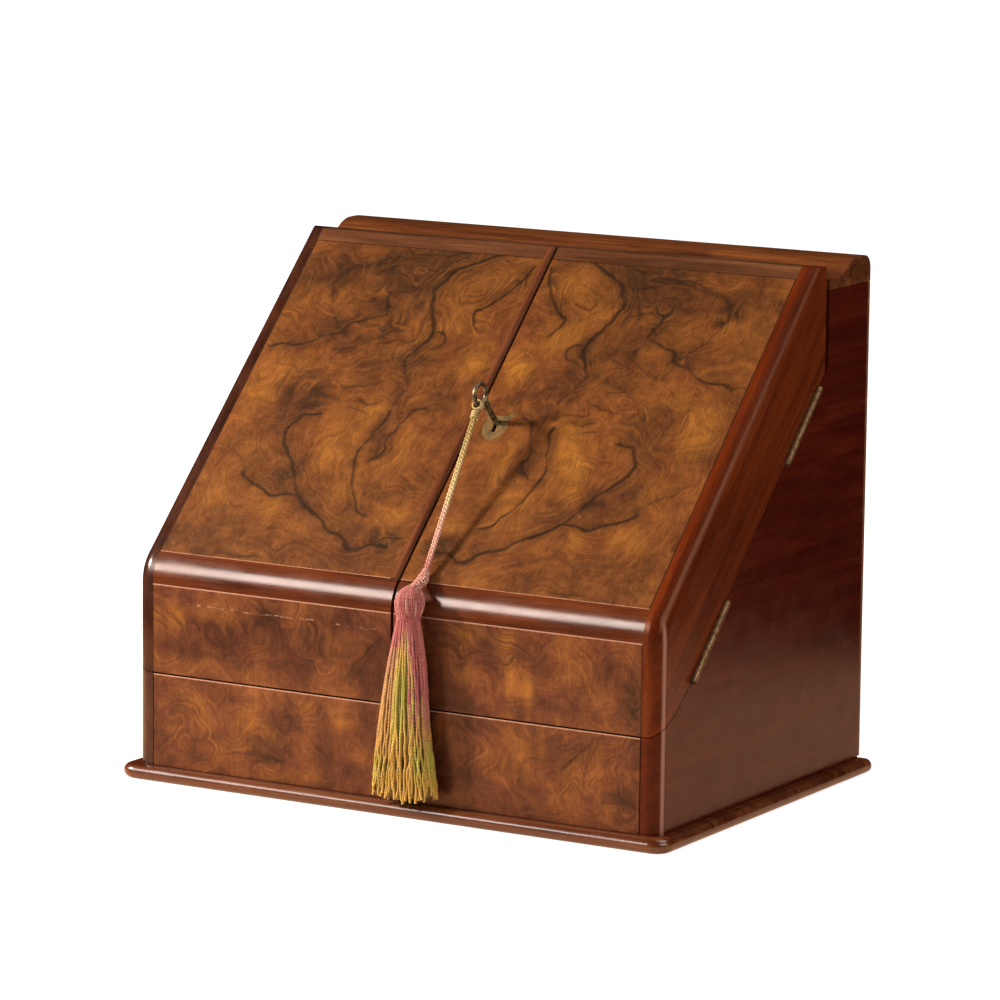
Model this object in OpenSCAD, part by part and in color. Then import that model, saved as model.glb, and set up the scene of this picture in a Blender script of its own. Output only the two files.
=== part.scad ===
// Desk compendium: a walnut stationery cabinet with two deep sloping doors, a moulded lid,
// a drawer in its base, a fitted interior, and a key with a cord and tassel.
// Side views are drawn with y to the back and z up, from the front face of the case and the floor.

/* [Case] */
// Width over the case sides
case_w = 394; // [370:1:430]
// Depth from the front face to the back face
case_d = 280; // [270:1:300]
// Height of the joint under the lid
case_h = 330.8; // [326:0.2:340]
// Thickness of the case sides and of the door sides that continue them
side_t = 13; // [12:0.5:15]
// Thickness of the back board
back_t = 3; // [2.6:0.2:5]
// Rounding of the long front edges
corner_r = 10; // [6:0.5:11]
// Thickness of the floor over the drawer
floor_t = 8; // [6:0.5:10]
// Height of the rail behind the top of the back board
back_rail_h = 22; // [16:1:30]
// Thickness of that rail
back_rail_t = 14; // [12:0.5:18]

/* [Base] */
// Thickness of the base board
base_t = 9.4; // [8:0.2:12]
// How far its half round edge stands out
base_overhang = 9.4; // [7:0.2:12]
// Rounding of its front corners in plan
base_corner_r = 12; // [9:0.5:16]

/* [Slope and doors] */
// Height at which the slope would meet the front face
slope_z0 = 143.4; // [138:0.2:150]
// Height of the doors' top edge
door_top_z = 347; // [343:0.5:352]
// Distance of the slope's top edge from the front face
door_top_y = 206; // [202:0.5:210]
// Distance of the doors' back edge from the front face
door_back_y = 216.5; // [214:0.5:218]
// Radius of the rounded nose between slope and apron
nose_r = 28.5; // [24:0.5:34]
// Thickness of the nose moulding
nose_t = 12; // [11:0.5:14]
// Thickness of the veneered slope panels
panel_t = 11; // [9:0.5:12]
// Thickness of the upright aprons below the nose
apron_t = 10; // [10:0.5:11]
// Width of the door's top rail along the slope
rail_w = 10.3; // [8:0.1:14]
// Gap between the two doors
door_gap = 2.2; // [1:0.1:3]
// Where the middle of that gap lies, from the middle of the case
door_gap_x = 0.8; // [0:0.1:2]
// Width of the bead on the left door's meeting edge
bead_w = 5.5; // [4:0.1:7]
// How far the bead stands proud of the slope
bead_h = 1.3; // [0.8:0.1:1.8]
// How deep the bead is let in
bead_in = 1.9; // [1.2:0.1:2.6]

/* [Split between doors and case] */
// Height of the split at the front face
toe_z = 71.5; // [70:0.5:74]
// Height at which the hinge line would meet the front face
split_rise = 60.5; // [58:0.5:62]
// Angle of the hinge line
split_a = 45; // [44:0.5:46]
// Distance from the front face at which the curved cut joins the hinge line
toe_end = 39; // [36:0.5:40]
// Distance of the case's upright neck from the front face
neck_y = 221.2; // [220:0.2:224]
// Gap left by the saw along the split
split_gap = 0.6; // [0.4:0.1:0.8]

/* [Hinges] */
// Length of a door hinge
hinge_l = 63.5; // [50:0.5:70]
// Where the lower door hinge starts along the split line
hinge_low = 57.5; // [57:0.5:62]
// Where the upper door hinge starts
hinge_high = 230.5; // [215:0.5:236]
// Width of a leaf let into the edge
leaf_w = 11; // [8:0.5:11.5]
// Thickness of a leaf
leaf_t = 1.2; // [1:0.1:1.6]
// Radius of the knuckle
knuckle_r = 2.2; // [1.9:0.1:2.6]
// How far the hinge axis lies outside the wood
knuckle_out = 1.2; // [0.8:0.1:1.6]
// Radius of the hinge pin
pin_r = 0.9; // [0.7:0.1:1.1]
// Length of a lid hinge
lid_hinge_l = 45; // [35:1:60]
// Distance of the lid hinges from the middle
lid_hinge_x = 120; // [60:1:140]

/* [Lid] */
// Thickness of the lid at its front edge
lid_front_t = 6.6; // [5:0.2:9]
// Height of the lid over its crown
lid_h = 18.1; // [15:0.1:22]
// Width of the flat strip at the lid's front
lid_flat = 8.8; // [6:0.2:14]
// Width of the hollow and swell behind it
lid_swell = 32; // [28:0.5:36]
// Rounding of the lid's back edge
lid_back_r = 9; // [5:0.5:11]
// Gap under the lid
lid_gap = 0.3; // [0.2:0.1:0.5]

/* [Drawer] */
// Thickness of the drawer front
drawer_front_t = 10; // [9:0.5:12]
// Thickness of the drawer sides
drawer_side_t = 8; // [7:0.5:10]
// Thickness of the drawer back
drawer_back_t = 6; // [5:0.5:9]
// Thickness of the drawer bottom
drawer_bottom_t = 4; // [3:0.2:5]
// Depth of the drawer over all
drawer_d = 262; // [230:1:264]
// Running gap at each side of the drawer
drawer_side_gap = 0.6; // [0.3:0.1:1]
// Running gap below and behind the drawer
drawer_gap = 0.3; // [0.2:0.1:0.5]
// How far the drawer bottom is let into its grooves
groove_in = 3; // [2:0.5:4]
// Length of the dovetails
tail_l = 7; // [5:0.5:8]

/* [Letter rack] */
// Thickness of the dividers
divider_t = 4; // [3:0.5:5]
// Thickness of the cheeks
cheek_t = 4; // [3.5:0.5:5]
// Distance of the first divider from the front face
rack_y = 78; // [76:1:84]
// Distance from one divider to the next
rack_pitch = 35; // [30:0.5:35.5]
// How far the rack stays below the slope, square to it
rack_clear = 26; // [24:0.5:32]
// Radius of the finger dip in each divider
dip_r = 95; // [80:1:120]
// Depth of the finger dip
dip_d = 12; // [8:0.5:16]
// Thickness of the wall before the rear compartment
wall_t = 6; // [5:0.5:9]

/* [Pen tray and inkwells] */
// Height of the pen tray
tray_h = 14; // [11:0.5:16]
// Where the pen tray starts behind the front face
tray_y = 22; // [20:0.5:24]
// Depth of the pen tray from front to back
tray_d = 38; // [37:0.5:40]
// Radius of a pen groove
pen_r = 8; // [6:0.5:9]
// Length of a pen groove
pen_l = 220; // [150:1:240]
// Width of an ink bottle
bottle_w = 32; // [30:0.5:33]
// Height of an ink bottle
bottle_h = 30; // [26:0.5:34]
// Distance of the inkwells' middles from the case sides
bottle_in = 36; // [32:1:44]
// Radius of the bottle's bore
bottle_bore_r = 10; // [8:0.5:11]
// Outer radius of the brass collar and lid
collar_r = 14; // [13:0.5:15]

/* [Lock and key] */
// Distance of the keyhole from the middle of the case
key_x = 17.3; // [16.5:0.1:19]
// Distance of the keyhole up the slope from the nose
key_s = 129.9; // [120:0.1:140]
// Width of the lock case
lock_w = 35; // [34:0.5:40]
// Height of the lock case along the slope
lock_l = 46; // [44:0.5:52]
// Depth of the lock case
lock_d = 9; // [8.5:0.1:11]
// Thickness of the lock case's plates
lock_t = 1; // [0.8:0.1:1.2]
// Width of the shield shaped escutcheon
shield_w = 24; // [22:0.5:26]
// Throw of the bolt
bolt_throw = 7.5; // [6.5:0.1:8]
// Height of the bolt along the slope
bolt_h = 12; // [10:0.5:13]
// Radius of the key's shank
shank_r = 2.1; // [1.8:0.1:2.4]
// Reach of the key's bit from its axis
bit_r = 6.5; // [5.8:0.1:7]
// Height of the middle of the bow above the slope
bow_z = 30; // [28:0.5:34]
// Radius of the bow to the middle of its ring
bow_r = 7.2; // [6.5:0.1:8]
// Half the thickness of the bow's ring
bow_stock_r = 1.6; // [1.3:0.1:1.8]

/* [Cord and tassel] */
// Diameter of the cord
cord_d = 3.4; // [2.8:0.1:3.8]
// Width of the tassel's skirt at its foot
skirt_w = 49; // [40:1:54]
// Depth of the skirt from front to back at its foot
skirt_d = 17; // [14:1:17]

/* [Hidden] */

half_w = case_w / 2;
half_in = half_w - side_t;
back_y = case_d - back_t;
// Small steps that keep curved faces from lying in each other
ease = 0.02;
walnut = "#5a2a14";
burr = "#8a4a20";
plain_wood = "#7a4526";
brass = "#9c7c42";
steel = "#5d564c";

// The slope: its angle, and where the nose moulding meets apron and slope
slope_a = atan2(door_top_z - slope_z0, door_top_y);
nose_tan = nose_r * tan((90 - slope_a) / 2);
nose_z = slope_z0 - nose_tan;
slope_y = nose_tan * cos(slope_a);
slope_z = slope_z0 + nose_tan * sin(slope_a);
slope_l = norm([door_top_y, door_top_z - slope_z0]) - nose_tan;
panel_l = slope_l - rail_w;

// The split: height of the hinge line at a depth, and its knee above the toe
function split_z(y) = split_rise + y * tan(split_a);
toe_line = [[0, toe_z], [4, toe_z + 3.6], [10, toe_z + 7.4], [20, toe_z + 12.6], [28, toe_z + 19],
            [toe_end, split_z(toe_end)]];
lift = split_gap / cos(split_a);
door_edge_right = door_gap_x + door_gap / 2;
door_edge_left = door_gap_x - door_gap / 2;

// Hinges
knuckle_gap = 0.3;
pin_clear = 0.05;
knuckles = 5;
screw_r = 1.1;
screw_head_r = 2;
screw_head_h = 1;
screw_l = 8;
screw_clear = 0.05;
screw_in = 6.2;

// The floor over the drawer, and the drawer's own box
drawer_w = 2 * (half_in - drawer_side_gap);
drawer_z = base_t + drawer_gap;
drawer_front_h = toe_z - 0.2 - drawer_z;
drawer_side_h = toe_z - floor_t - 0.8 - drawer_z;
drawer_bottom_z = drawer_z + 3;
floor_y = drawer_front_t + drawer_gap;

// Rack: cheeks stand clear of the door sides, dividers are housed in them
rack_side_gap = 0.5;
cheek_x = half_in - rack_side_gap;
housing = cheek_t / 2;
rack_front = 4;
function rack_top(y) = slope_z0 + (door_top_z - slope_z0) / door_top_y * y - rack_clear / cos(slope_a);

// Inkwells
bottle_x = half_in - bottle_in;
bottle_y = tray_y + tray_d / 2;
bottle_clear = 0.3;
collar_h = 4;
ink_lid_t = 2;
ink_lid_dome = 3;
ink_knuckle_r = 1.8;
ink_pin_r = 0.7;
ink_axis_y = collar_r + 1.6;
ink_axis_z = collar_h + 0.15;
ink_seg = 5;

// Lock, in slope coordinates: x across, s up the slope, and z out of it
lock_x = door_edge_right + 1;
lock_z = -panel_t;
lock_s = key_s - 0.5 * lock_l;
bolt_t = 5;
bolt_z = lock_z - lock_d / 2;
bolt_low = key_s + 4.6;
bolt_rest_x = lock_x + 0.3;
bolt_l = 29;
bit_t = 2;
bit_h = 4.6;
keyhole_r = shank_r + 0.3;
keyhole_slot = bit_t + 0.6;
talon_w = 10.6;
talon_d = bit_r + 0.5 - 4.6;
shield_t = 1.2;
keeper_t = 1.2;
keeper_clear = 0.5;

// Drawer pin: a brass pin through the floor that drops into a notch in the drawer's right side
drop_r = 1.8;
drop_x = half_in - drawer_side_gap - drawer_side_t / 2;
drop_y = 67;
drop = 8;
drop_clear = 0.08;

// Cord: its route over the slope from the bow to the tassel's tie, chosen by hand
cord_route = [[17.4, 74.4, 253.9], [17.7, 67, 243], [17.9, 60, 232.7], [18.1, 53, 222.4],
              [18.4, 46, 212.1], [18.6, 39, 201.7], [18.9, 32, 191.4], [19.1, 25, 181.1],
              [19.3, 18, 170.8], [19.6, 11, 160.5]];
cord_sides = 8;
// Tie and head of the tassel: middle of each ring, half width and half depth, and its tilt
head_rings = [[[19.6, 11, 160.5], 2, 2, -56], [[19.9, 8.5, 157.3], 3, 2.6, -50],
              [[20.6, 5, 154.6], 4.2, 2.9, -35], [[21, 1, 152.8], 4.4, 3, -22],
              [[20.8, -2.8, 151.6], 3.8, 2.8, -25], [[20.5, -5.5, 150.3], 4.6, 3.6, -42],
              [[20.3, -7.8, 148.4], 7.4, 6, -66], [[20.1, -9.3, 145.6], 9.4, 7.8, -84],
              [[20, -9.9, 141.8], 10.3, 8.6, -90], [[19.8, -10.1, 137.4], 9.6, 8.2, -90],
              [[19.5, -10.2, 133.8], 8.3, 7.2, -90], [[19.3, -10.3, 131.5], 7.8, 6.8, -90]];
head_sides = 20;
skirt_top_z = 131.5;
skirt_foot_z = 10;
skirt_rings = 12;
flutes = 13;

// The origin lies under the middle of the footprint, knuckles included
mid_y = (case_d + knuckle_out + knuckle_r - 0.2 - base_overhang) / 2;
lid_axis_y = case_d + knuckle_out - 0.2;
module placed() translate([0, -mid_y, 0]) children();

// Lays a side view out across the width from x0 to x1
module across(x0, x1) translate([x0, 0, 0]) rotate([90, 0, 90]) linear_extrude(x1 - x0) children();

// Slope coordinates, and split coordinates with y along the hinge line
module on_slope() translate([0, slope_y, slope_z]) rotate([slope_a, 0, 0]) children();
module on_split() translate([0, 0, split_rise]) rotate([split_a, 0, 0]) children();

// Side view of the whole cabinet below the slope, with its rounded nose
module side_profile() difference() {
    far = 2 * slope_l;
    polygon([[0, 0], [0, slope_z0], [far * cos(slope_a), slope_z0 + far * sin(slope_a)],
             [far * cos(slope_a), 0]]);
    difference() {
        polygon([[nose_r, nose_z], [-3, nose_z], [-3, slope_z0 + 12],
                 [slope_y - 12 * sin(slope_a), slope_z + 12 * cos(slope_a)]]);
        translate([nose_r, nose_z]) circle(nose_r - ease, $fn = 128);
    }
}

// What rounding takes off a square edge: outer face at x = corner_r, show surface at y = 0
module edge_waste(out) difference() {
    translate([0.2, -1]) square([corner_r + 1, corner_r + 0.8]);
    translate([out, corner_r - out]) circle(corner_r, $fn = 64);
}

// Rounds the right hand side's front edge up the front, round the nose and along the slope
module edge_cutter() {
    turn = 90 - slope_a + 1;
    translate([half_w - corner_r, 0, -1]) linear_extrude(nose_z + 8) edge_waste(1.5 * ease);
    translate([half_w - corner_r, slope_y, slope_z]) rotate([slope_a - 90, 0, 0])
        translate([0, 0, -8]) linear_extrude(slope_l + 40) edge_waste(1.5 * ease);
    translate([half_w - corner_r, nose_r, nose_z]) rotate([90, 0, 90]) rotate([0, 0, 89.5 + slope_a])
        rotate_extrude(angle = turn, $fn = 96) translate([nose_r, 0]) rotate(90) edge_waste(0.5 * ease);
}

// Side view of everything that belongs to the case
module case_outline() polygon(concat([[0, base_t]], toe_line,
                                     [[neck_y, split_z(neck_y)], [neck_y, case_h],
                                      [back_y, case_h], [back_y, base_t]]));

// Side view of everything that belongs to a door
module door_outline() intersection() {
    side_profile();
    polygon(concat([for (p = toe_line) [p[0], p[1] + lift]],
                   [[door_back_y, split_z(door_back_y) + lift], [door_back_y, door_top_z], [0, door_top_z]]));
}

// Butt hinge about its own axis: x out of the wood, y along the axis, z from fixed to moving leaf
module hinge_leaf(l, gap, moving) {
    seg = l / knuckles;
    plate_x = -(leaf_w + knuckle_out);
    root_x = -(knuckle_r + knuckle_gap);
    mirror([0, 0, moving ? 1 : 0]) difference() {
        union() {
            translate([plate_x, 0, -gap / 2 - leaf_t]) cube([root_x - plate_x, l, leaf_t]);
            for (i = [moving ? 1 : 0 : 2 : knuckles - 1]) {
                translate([0, i * seg + knuckle_gap / 2, 0]) rotate([-90, 0, 0])
                    cylinder(r = knuckle_r, h = seg - knuckle_gap, $fn = 32);
                translate([root_x - 0.2, i * seg + knuckle_gap / 2, -gap / 2 - leaf_t])
                    cube([0.2 - root_x, seg - knuckle_gap, leaf_t]);
            }
        }
        translate([0, -1, 0]) rotate([-90, 0, 0])
            cylinder(r = pin_r + pin_clear, h = l + 2, $fn = 32);
        screw_places(l, gap) screw_shape(screw_clear);
    }
}

// Screws stand with their heads flush in the fixed leaf
module screw_places(l, gap)
    for (i = [1, 3, 5]) translate([-(knuckle_out + screw_in), l * i / 6, -gap / 2]) children();

module screw_shape(clear) {
    translate([0, 0, -screw_head_h])
        cylinder(r1 = screw_r + clear, r2 = screw_head_r + clear, h = screw_head_h, $fn = 24);
    translate([0, 0, -screw_l]) cylinder(r = screw_r + clear, h = screw_l - screw_head_h + 0.01, $fn = 24);
}

module hinge_screws(l, gap, moving) mirror([0, 0, moving ? 1 : 0])
    screw_places(l, gap) difference() {
        screw_shape(0);
        translate([-0.25, -3, -0.4]) cube([0.5, 6, 1]);
    }

module hinge_pin(l) rotate([-90, 0, 0]) cylinder(r = pin_r, h = l, $fn = 32);

// What a hinge takes out of the wood: leaf pocket, knuckle groove and pilot holes
module hinge_pocket(l, gap, moving) {
    plate_x = -(leaf_w + knuckle_out);
    mirror([0, 0, moving ? 1 : 0]) {
        translate([plate_x, 0, -gap / 2 - leaf_t]) cube([leaf_w + 2, l, leaf_t + 1]);
        screw_places(l, gap) translate([0, 0, -screw_l - 0.5])
            cylinder(r = screw_r + screw_clear, h = screw_l, $fn = 24);
    }
    translate([0, -0.3, 0]) rotate([-90, 0, 0])
        cylinder(r = knuckle_r + knuckle_gap, h = l + 0.6, $fn = 32);
}

// The two hinges of the right hand door, and of the lid
module at_door_hinges() for (t = [hinge_low, hinge_high])
    on_split() translate([half_w + knuckle_out, t, lift * cos(split_a) / 2]) children();

module at_lid_hinges() for (side = [-1, 1])
    translate([side * lid_hinge_x + lid_hinge_l / 2, lid_axis_y, case_h + lid_gap / 2])
        rotate([0, 0, 90]) children();

// Base board with a half round nose on its front and sides
module nose_section(reach) {
    translate([0, base_t / 2]) circle(base_t / 2, $fn = 48);
    translate([-reach, 0]) square([reach, base_t]);
}

module base_board() color(walnut) placed() {
    out = half_w + base_overhang - base_t / 2;
    front = base_t / 2 - base_overhang;
    turn = base_corner_r - base_t / 2;
    bed = turn * 0.4;
    translate([-(out - turn) - bed, front + turn - bed, 0])
        cube([2 * (out - turn + bed), case_d - front - turn + bed, base_t]);
    translate([-(out - turn), front + turn, 0]) rotate([90, 0, 90]) linear_extrude(2 * (out - turn))
        mirror([1, 0]) translate([turn, 0]) nose_section(turn);
    for (side = [0, 1]) mirror([side, 0, 0]) translate([out - turn, front + turn, 0]) {
        mirror([0, 1, 0]) rotate([90, 0, 0])
            linear_extrude(case_d - front - turn) translate([turn, 0]) nose_section(turn);
        rotate([0, 0, -90]) rotate_extrude(angle = 90, $fn = 64) translate([turn, 0])
            intersection() {
                nose_section(turn);
                translate([-turn, 0]) square([turn + base_t, base_t]);
            }
    }
}

// Case side: everything below the split, cut for hinges
module case_side() difference() {
    across(half_in, half_w) case_outline();
    edge_cutter();
    at_door_hinges() hinge_pocket(hinge_l, split_gap, false);
}

module case_side_right() color(walnut) placed() case_side();
module case_side_left() color(walnut) placed() mirror([1, 0, 0]) case_side();

module case_back() color(plain_wood) placed() difference() {
    translate([-half_w, back_y, base_t + 1.5]) cube([case_w, back_t, case_h - base_t - 1.5]);
    at_lid_hinges() hinge_pocket(lid_hinge_l, lid_gap, false);
}

module back_rail() color(plain_wood) placed() difference() {
    translate([-half_in, back_y - back_rail_t, case_h - back_rail_h])
        cube([2 * half_in, back_rail_t, back_rail_h]);
    at_lid_hinges() hinge_pocket(lid_hinge_l, lid_gap, false);
}

// Floor over the drawer, bored for the drawer pin
module drawer_floor() color(plain_wood) placed() difference() {
    translate([-half_in, floor_y, toe_z - floor_t])
        cube([2 * half_in, back_y - floor_y, floor_t]);
    translate([drop_x, drop_y, toe_z - floor_t - 1])
        cylinder(r = drop_r + drop_clear, h = floor_t + 2, $fn = 32);
}

module compartment_wall() color(plain_wood) placed()
    translate([-half_in, neck_y, toe_z]) cube([2 * half_in, wall_t, case_h - toe_z]);

// Letter rack: two cheeks whose tops run parallel to the slope, and dividers housed in them
module rack_cheeks() color(burr) placed() difference() {
    for (side = [0, 1]) mirror([side, 0, 0]) across(cheek_x - cheek_t, cheek_x) {
        front = rack_y - rack_front;
        polygon([[front, toe_z], [neck_y, toe_z], [neck_y, rack_top(neck_y) - 14],
                 [neck_y - 14, rack_top(neck_y - 14)], [front + 14, rack_top(front + 14)],
                 [front, rack_top(front) - 14]]);
    }
    for (i = [0:3]) translate([-(cheek_x - cheek_t + housing), rack_y + i * rack_pitch, toe_z])
        cube([2 * (cheek_x - cheek_t + housing), divider_t, case_h]);
}

module rack_divider(i) color(burr) placed() {
    y = rack_y + i * rack_pitch;
    w = cheek_x - cheek_t + housing;
    top = rack_top(y);
    difference() {
        translate([-w, y, toe_z]) cube([2 * w, divider_t, top - toe_z]);
        translate([0, y - 1, top + dip_r - dip_d]) rotate([-90, 0, 0])
            cylinder(r = dip_r, h = divider_t + 2, $fn = 120);
    }
}

module rack_divider_1() rack_divider(0);
module rack_divider_2() rack_divider(1);
module rack_divider_3() rack_divider(2);
module rack_divider_4() rack_divider(3);

// Pen tray: two round bottomed grooves between square wells for the ink bottles
module pen_tray() color(plain_wood) placed() {
    well = bottle_w + 2 * bottle_clear;
    difference() {
        translate([-cheek_x, tray_y, toe_z]) cube([2 * cheek_x, tray_d, tray_h]);
        for (side = [-1, 1]) {
            translate([side * bottle_x - well / 2, bottle_y - well / 2, toe_z - 1])
                cube([well, well, tray_h + 2]);
            translate([-pen_l / 2, bottle_y + side * (tray_d / 4), toe_z + tray_h])
                rotate([0, 90, 0]) cylinder(r = pen_r, h = pen_l, $fn = 48);
        }
    }
}

module at_inkwell(side) translate([side * bottle_x, bottle_y, toe_z]) children();

// Square glass bottle with cut shoulders and a round bore
module ink_bottle(side) color("#9fb4ae") placed() at_inkwell(side) difference() {
    union() {
        translate([-bottle_w / 2, -bottle_w / 2, 0]) cube([bottle_w, bottle_w, bottle_h - 3]);
        translate([0, 0, bottle_h - 3]) cylinder(r = collar_r, h = 3, $fn = 64);
    }
    translate([0, 0, 6]) cylinder(r = bottle_bore_r, h = bottle_h, $fn = 48);
    translate([0, 0, 6]) mirror([0, 0, 1])
        cylinder(r1 = bottle_bore_r, r2 = bottle_bore_r - 3, h = 2, $fn = 48);
}

module ink_bottle_left() ink_bottle(-1);
module ink_bottle_right() ink_bottle(1);

// Brass collar with the fixed knuckles and the pin of its lid
module ink_collar(side) color(brass) placed() at_inkwell(side) translate([0, 0, bottle_h]) {
    difference() {
        union() {
            cylinder(r = collar_r, h = collar_h, $fn = 64);
            for (k = [-1, 1]) translate([k * ink_seg - ink_seg / 2 + k * 0.15, 0, 0]) {
                translate([0, collar_r - 3, 0]) cube([ink_seg, 4.6, collar_h]);
                translate([0, ink_axis_y, ink_axis_z]) rotate([0, 90, 0])
                    cylinder(r = ink_knuckle_r, h = ink_seg, $fn = 32);
            }
        }
        translate([0, 0, -1]) cylinder(r = bottle_bore_r + 0.8, h = collar_h + 2, $fn = 48);
        translate([-ink_seg / 2 - 0.15, collar_r - 0.5, -1]) cube([ink_seg + 0.3, 6, collar_h + 4]);
    }
    translate([-ink_seg, ink_axis_y, ink_axis_z]) rotate([0, 90, 0])
        cylinder(r = ink_pin_r, h = 2 * ink_seg, $fn = 32);
}

module ink_collar_left() ink_collar(-1);
module ink_collar_right() ink_collar(1);

// Domed brass lid with the moving knuckle
module ink_lid(side) color(brass) placed() at_inkwell(side) translate([0, 0, bottle_h]) difference() {
    union() {
        translate([0, 0, collar_h + 0.3]) cylinder(r = collar_r, h = ink_lid_t, $fn = 64);
        translate([0, 0, collar_h + 0.3 + ink_lid_t])
            cylinder(r1 = collar_r - 1.5, r2 = collar_r - 6, h = ink_lid_dome, $fn = 64);
        translate([-ink_seg / 2 + 0.15, ink_axis_y, ink_axis_z]) rotate([0, 90, 0])
            cylinder(r = ink_knuckle_r, h = ink_seg - 0.3, $fn = 32);
        translate([-ink_seg / 2 + 0.15, collar_r - 1.5, collar_h + 0.5])
            cube([ink_seg - 0.3, 3.6, ink_lid_t - 0.4]);
    }
    translate([-ink_seg, ink_axis_y, ink_axis_z]) rotate([0, 90, 0])
        cylinder(r = ink_pin_r + pin_clear, h = 2 * ink_seg, $fn = 32);
}

module ink_lid_left() ink_lid(-1);
module ink_lid_right() ink_lid(1);

// Door hinges: fixed leaves and pins stay on the case, moving leaves go with the doors
module hinge_case_leaves_right() color(brass) placed() at_door_hinges() hinge_leaf(hinge_l, split_gap, false);
module hinge_case_leaves_left() color(brass) placed() mirror([1, 0, 0])
    at_door_hinges() hinge_leaf(hinge_l, split_gap, false);
module hinge_door_leaves_right() color(brass) placed() at_door_hinges() hinge_leaf(hinge_l, split_gap, true);
module hinge_door_leaves_left() color(brass) placed() mirror([1, 0, 0])
    at_door_hinges() hinge_leaf(hinge_l, split_gap, true);
module hinge_pins_right() color(steel) placed() at_door_hinges() hinge_pin(hinge_l);
module hinge_pins_left() color(steel) placed() mirror([1, 0, 0]) at_door_hinges() hinge_pin(hinge_l);

module hinge_case_screws() color(brass) placed() {
    for (side = [0, 1]) mirror([side, 0, 0]) at_door_hinges() hinge_screws(hinge_l, split_gap, false);
    at_lid_hinges() hinge_screws(lid_hinge_l, lid_gap, false);
}

module lid_hinge_case_leaves() color(brass) placed() at_lid_hinges() hinge_leaf(lid_hinge_l, lid_gap, false);
module lid_hinge_leaves() color(brass) placed() at_lid_hinges() hinge_leaf(lid_hinge_l, lid_gap, true);
module lid_hinge_pins() color(steel) placed() at_lid_hinges() hinge_pin(lid_hinge_l);
module lid_screws() color(brass) placed() at_lid_hinges() hinge_screws(lid_hinge_l, lid_gap, true);

// Lid: flat front strip, hollow, swell and rounded back edge, drawn as arcs that meet tangent
module lid_profile() {
    rise = lid_h - lid_front_t;
    swell_r = (lid_swell * lid_swell + rise * rise) / (4 * rise);
    hollow_y = neck_y + lid_flat;
    mid = hollow_y + lid_swell / 2;
    crown_y = hollow_y + lid_swell;
    round_y = case_d - lid_back_r;
    translate([neck_y, 0]) square([lid_flat, lid_front_t]);
    difference() {
        translate([hollow_y, 0]) square([lid_swell / 2, lid_front_t + rise / 2]);
        translate([hollow_y, lid_front_t + swell_r]) circle(swell_r, $fn = 128);
    }
    intersection() {
        translate([mid, 0]) square([lid_swell / 2, lid_h]);
        union() {
            translate([crown_y, lid_h - swell_r]) circle(swell_r, $fn = 128);
            translate([mid, 0]) square([lid_swell / 2, lid_front_t]);
        }
    }
    translate([crown_y, 0]) square([round_y - crown_y, lid_h]);
    translate([round_y, 0]) square([lid_back_r, lid_h - lid_back_r]);
    intersection() {
        translate([round_y, lid_h - lid_back_r]) square([lid_back_r, lid_back_r]);
        translate([round_y, lid_h - lid_back_r]) circle(lid_back_r, $fn = 64);
    }
}

module lid_board() color(walnut) placed() difference() {
    translate([0, 0, case_h + lid_gap]) across(-half_w, half_w) lid_profile();
    at_lid_hinges() hinge_pocket(lid_hinge_l, lid_gap, true);
}

// Door pieces between its side and its meeting edge, from x0 to x1
module slope_panel(x0, x1) on_slope() translate([x0, 0, -panel_t]) cube([x1 - x0, panel_l, panel_t]);

module nose_strip(x0, x1) translate([x0, nose_r, nose_z]) rotate([90, 0, 90]) rotate([0, 0, 90 + slope_a])
    rotate_extrude(angle = 90 - slope_a, $fn = 96)
        translate([nose_r - nose_t, 0]) square([nose_t, x1 - x0]);

// The apron's lower edge is bevelled along the toe, so that it swings clear of the case sides
module apron(x0, x1) across(x0, x1)
    polygon([[0, nose_z], [0, toe_line[0][1] + lift], [toe_line[1][0], toe_line[1][1] + lift],
             [toe_line[2][0], toe_line[2][1] + lift], [apron_t, toe_line[2][1] + lift], [apron_t, nose_z]]);

module top_rail(x0, x1) across(x0, x1) {
    foot = [door_top_y - rail_w * cos(slope_a), door_top_z - rail_w * sin(slope_a)];
    inner = [foot[0] + panel_t * sin(slope_a), foot[1] - panel_t * cos(slope_a)];
    polygon([foot, [door_top_y, door_top_z], [door_back_y, door_top_z], [door_back_y, inner[1]], inner]);
}

module door_side() difference() {
    across(half_in, half_w) door_outline();
    edge_cutter();
    at_door_hinges() hinge_pocket(hinge_l, split_gap, true);
}

// Keyhole and the shield shaped recess around it, in slope coordinates
module keyhole(grow) translate([key_x, key_s]) {
    circle(keyhole_r + grow, $fn = 32);
    translate([-keyhole_slot / 2 - grow, -(bit_r + 0.8) - grow]) square([keyhole_slot + 2 * grow, bit_r + 0.8]);
}

module shield() translate([key_x, key_s]) scale(shield_w / 24) difference() {
    polygon([[-12, 8.5], [12, 8.5], [8.6, -6], [7, -10.5], [0, -15.5], [-7, -10.5], [-8.6, -6]]);
    translate([0, 22.5]) circle(16.5, $fn = 64);
    for (side = [-1, 1]) translate([side * 13.4, 1.2]) circle(5.2, $fn = 48);
}

module door_right_panel() color(burr) placed() difference() {
    slope_panel(door_edge_right, half_in);
    on_slope() {
        translate([0, 0, -panel_t - 1]) linear_extrude(panel_t + 2) keyhole(0);
        translate([0, 0, -shield_t]) linear_extrude(shield_t + 1) shield();
    }
}

module door_right_apron() color(burr) placed() apron(door_edge_right, half_in);
module door_right_nose() color(walnut) placed() nose_strip(door_edge_right, half_in);
module door_right_rail() color(walnut) placed() top_rail(door_edge_right, half_in);
module door_right_side() color(walnut) placed() door_side();

// The left leaf is rebated for the bead on its meeting edge
module bead_bed() on_slope() translate([door_edge_left - bead_w, -1, -bead_in])
    cube([bead_w + 1, slope_l + 2, bead_in + 2]);

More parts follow.
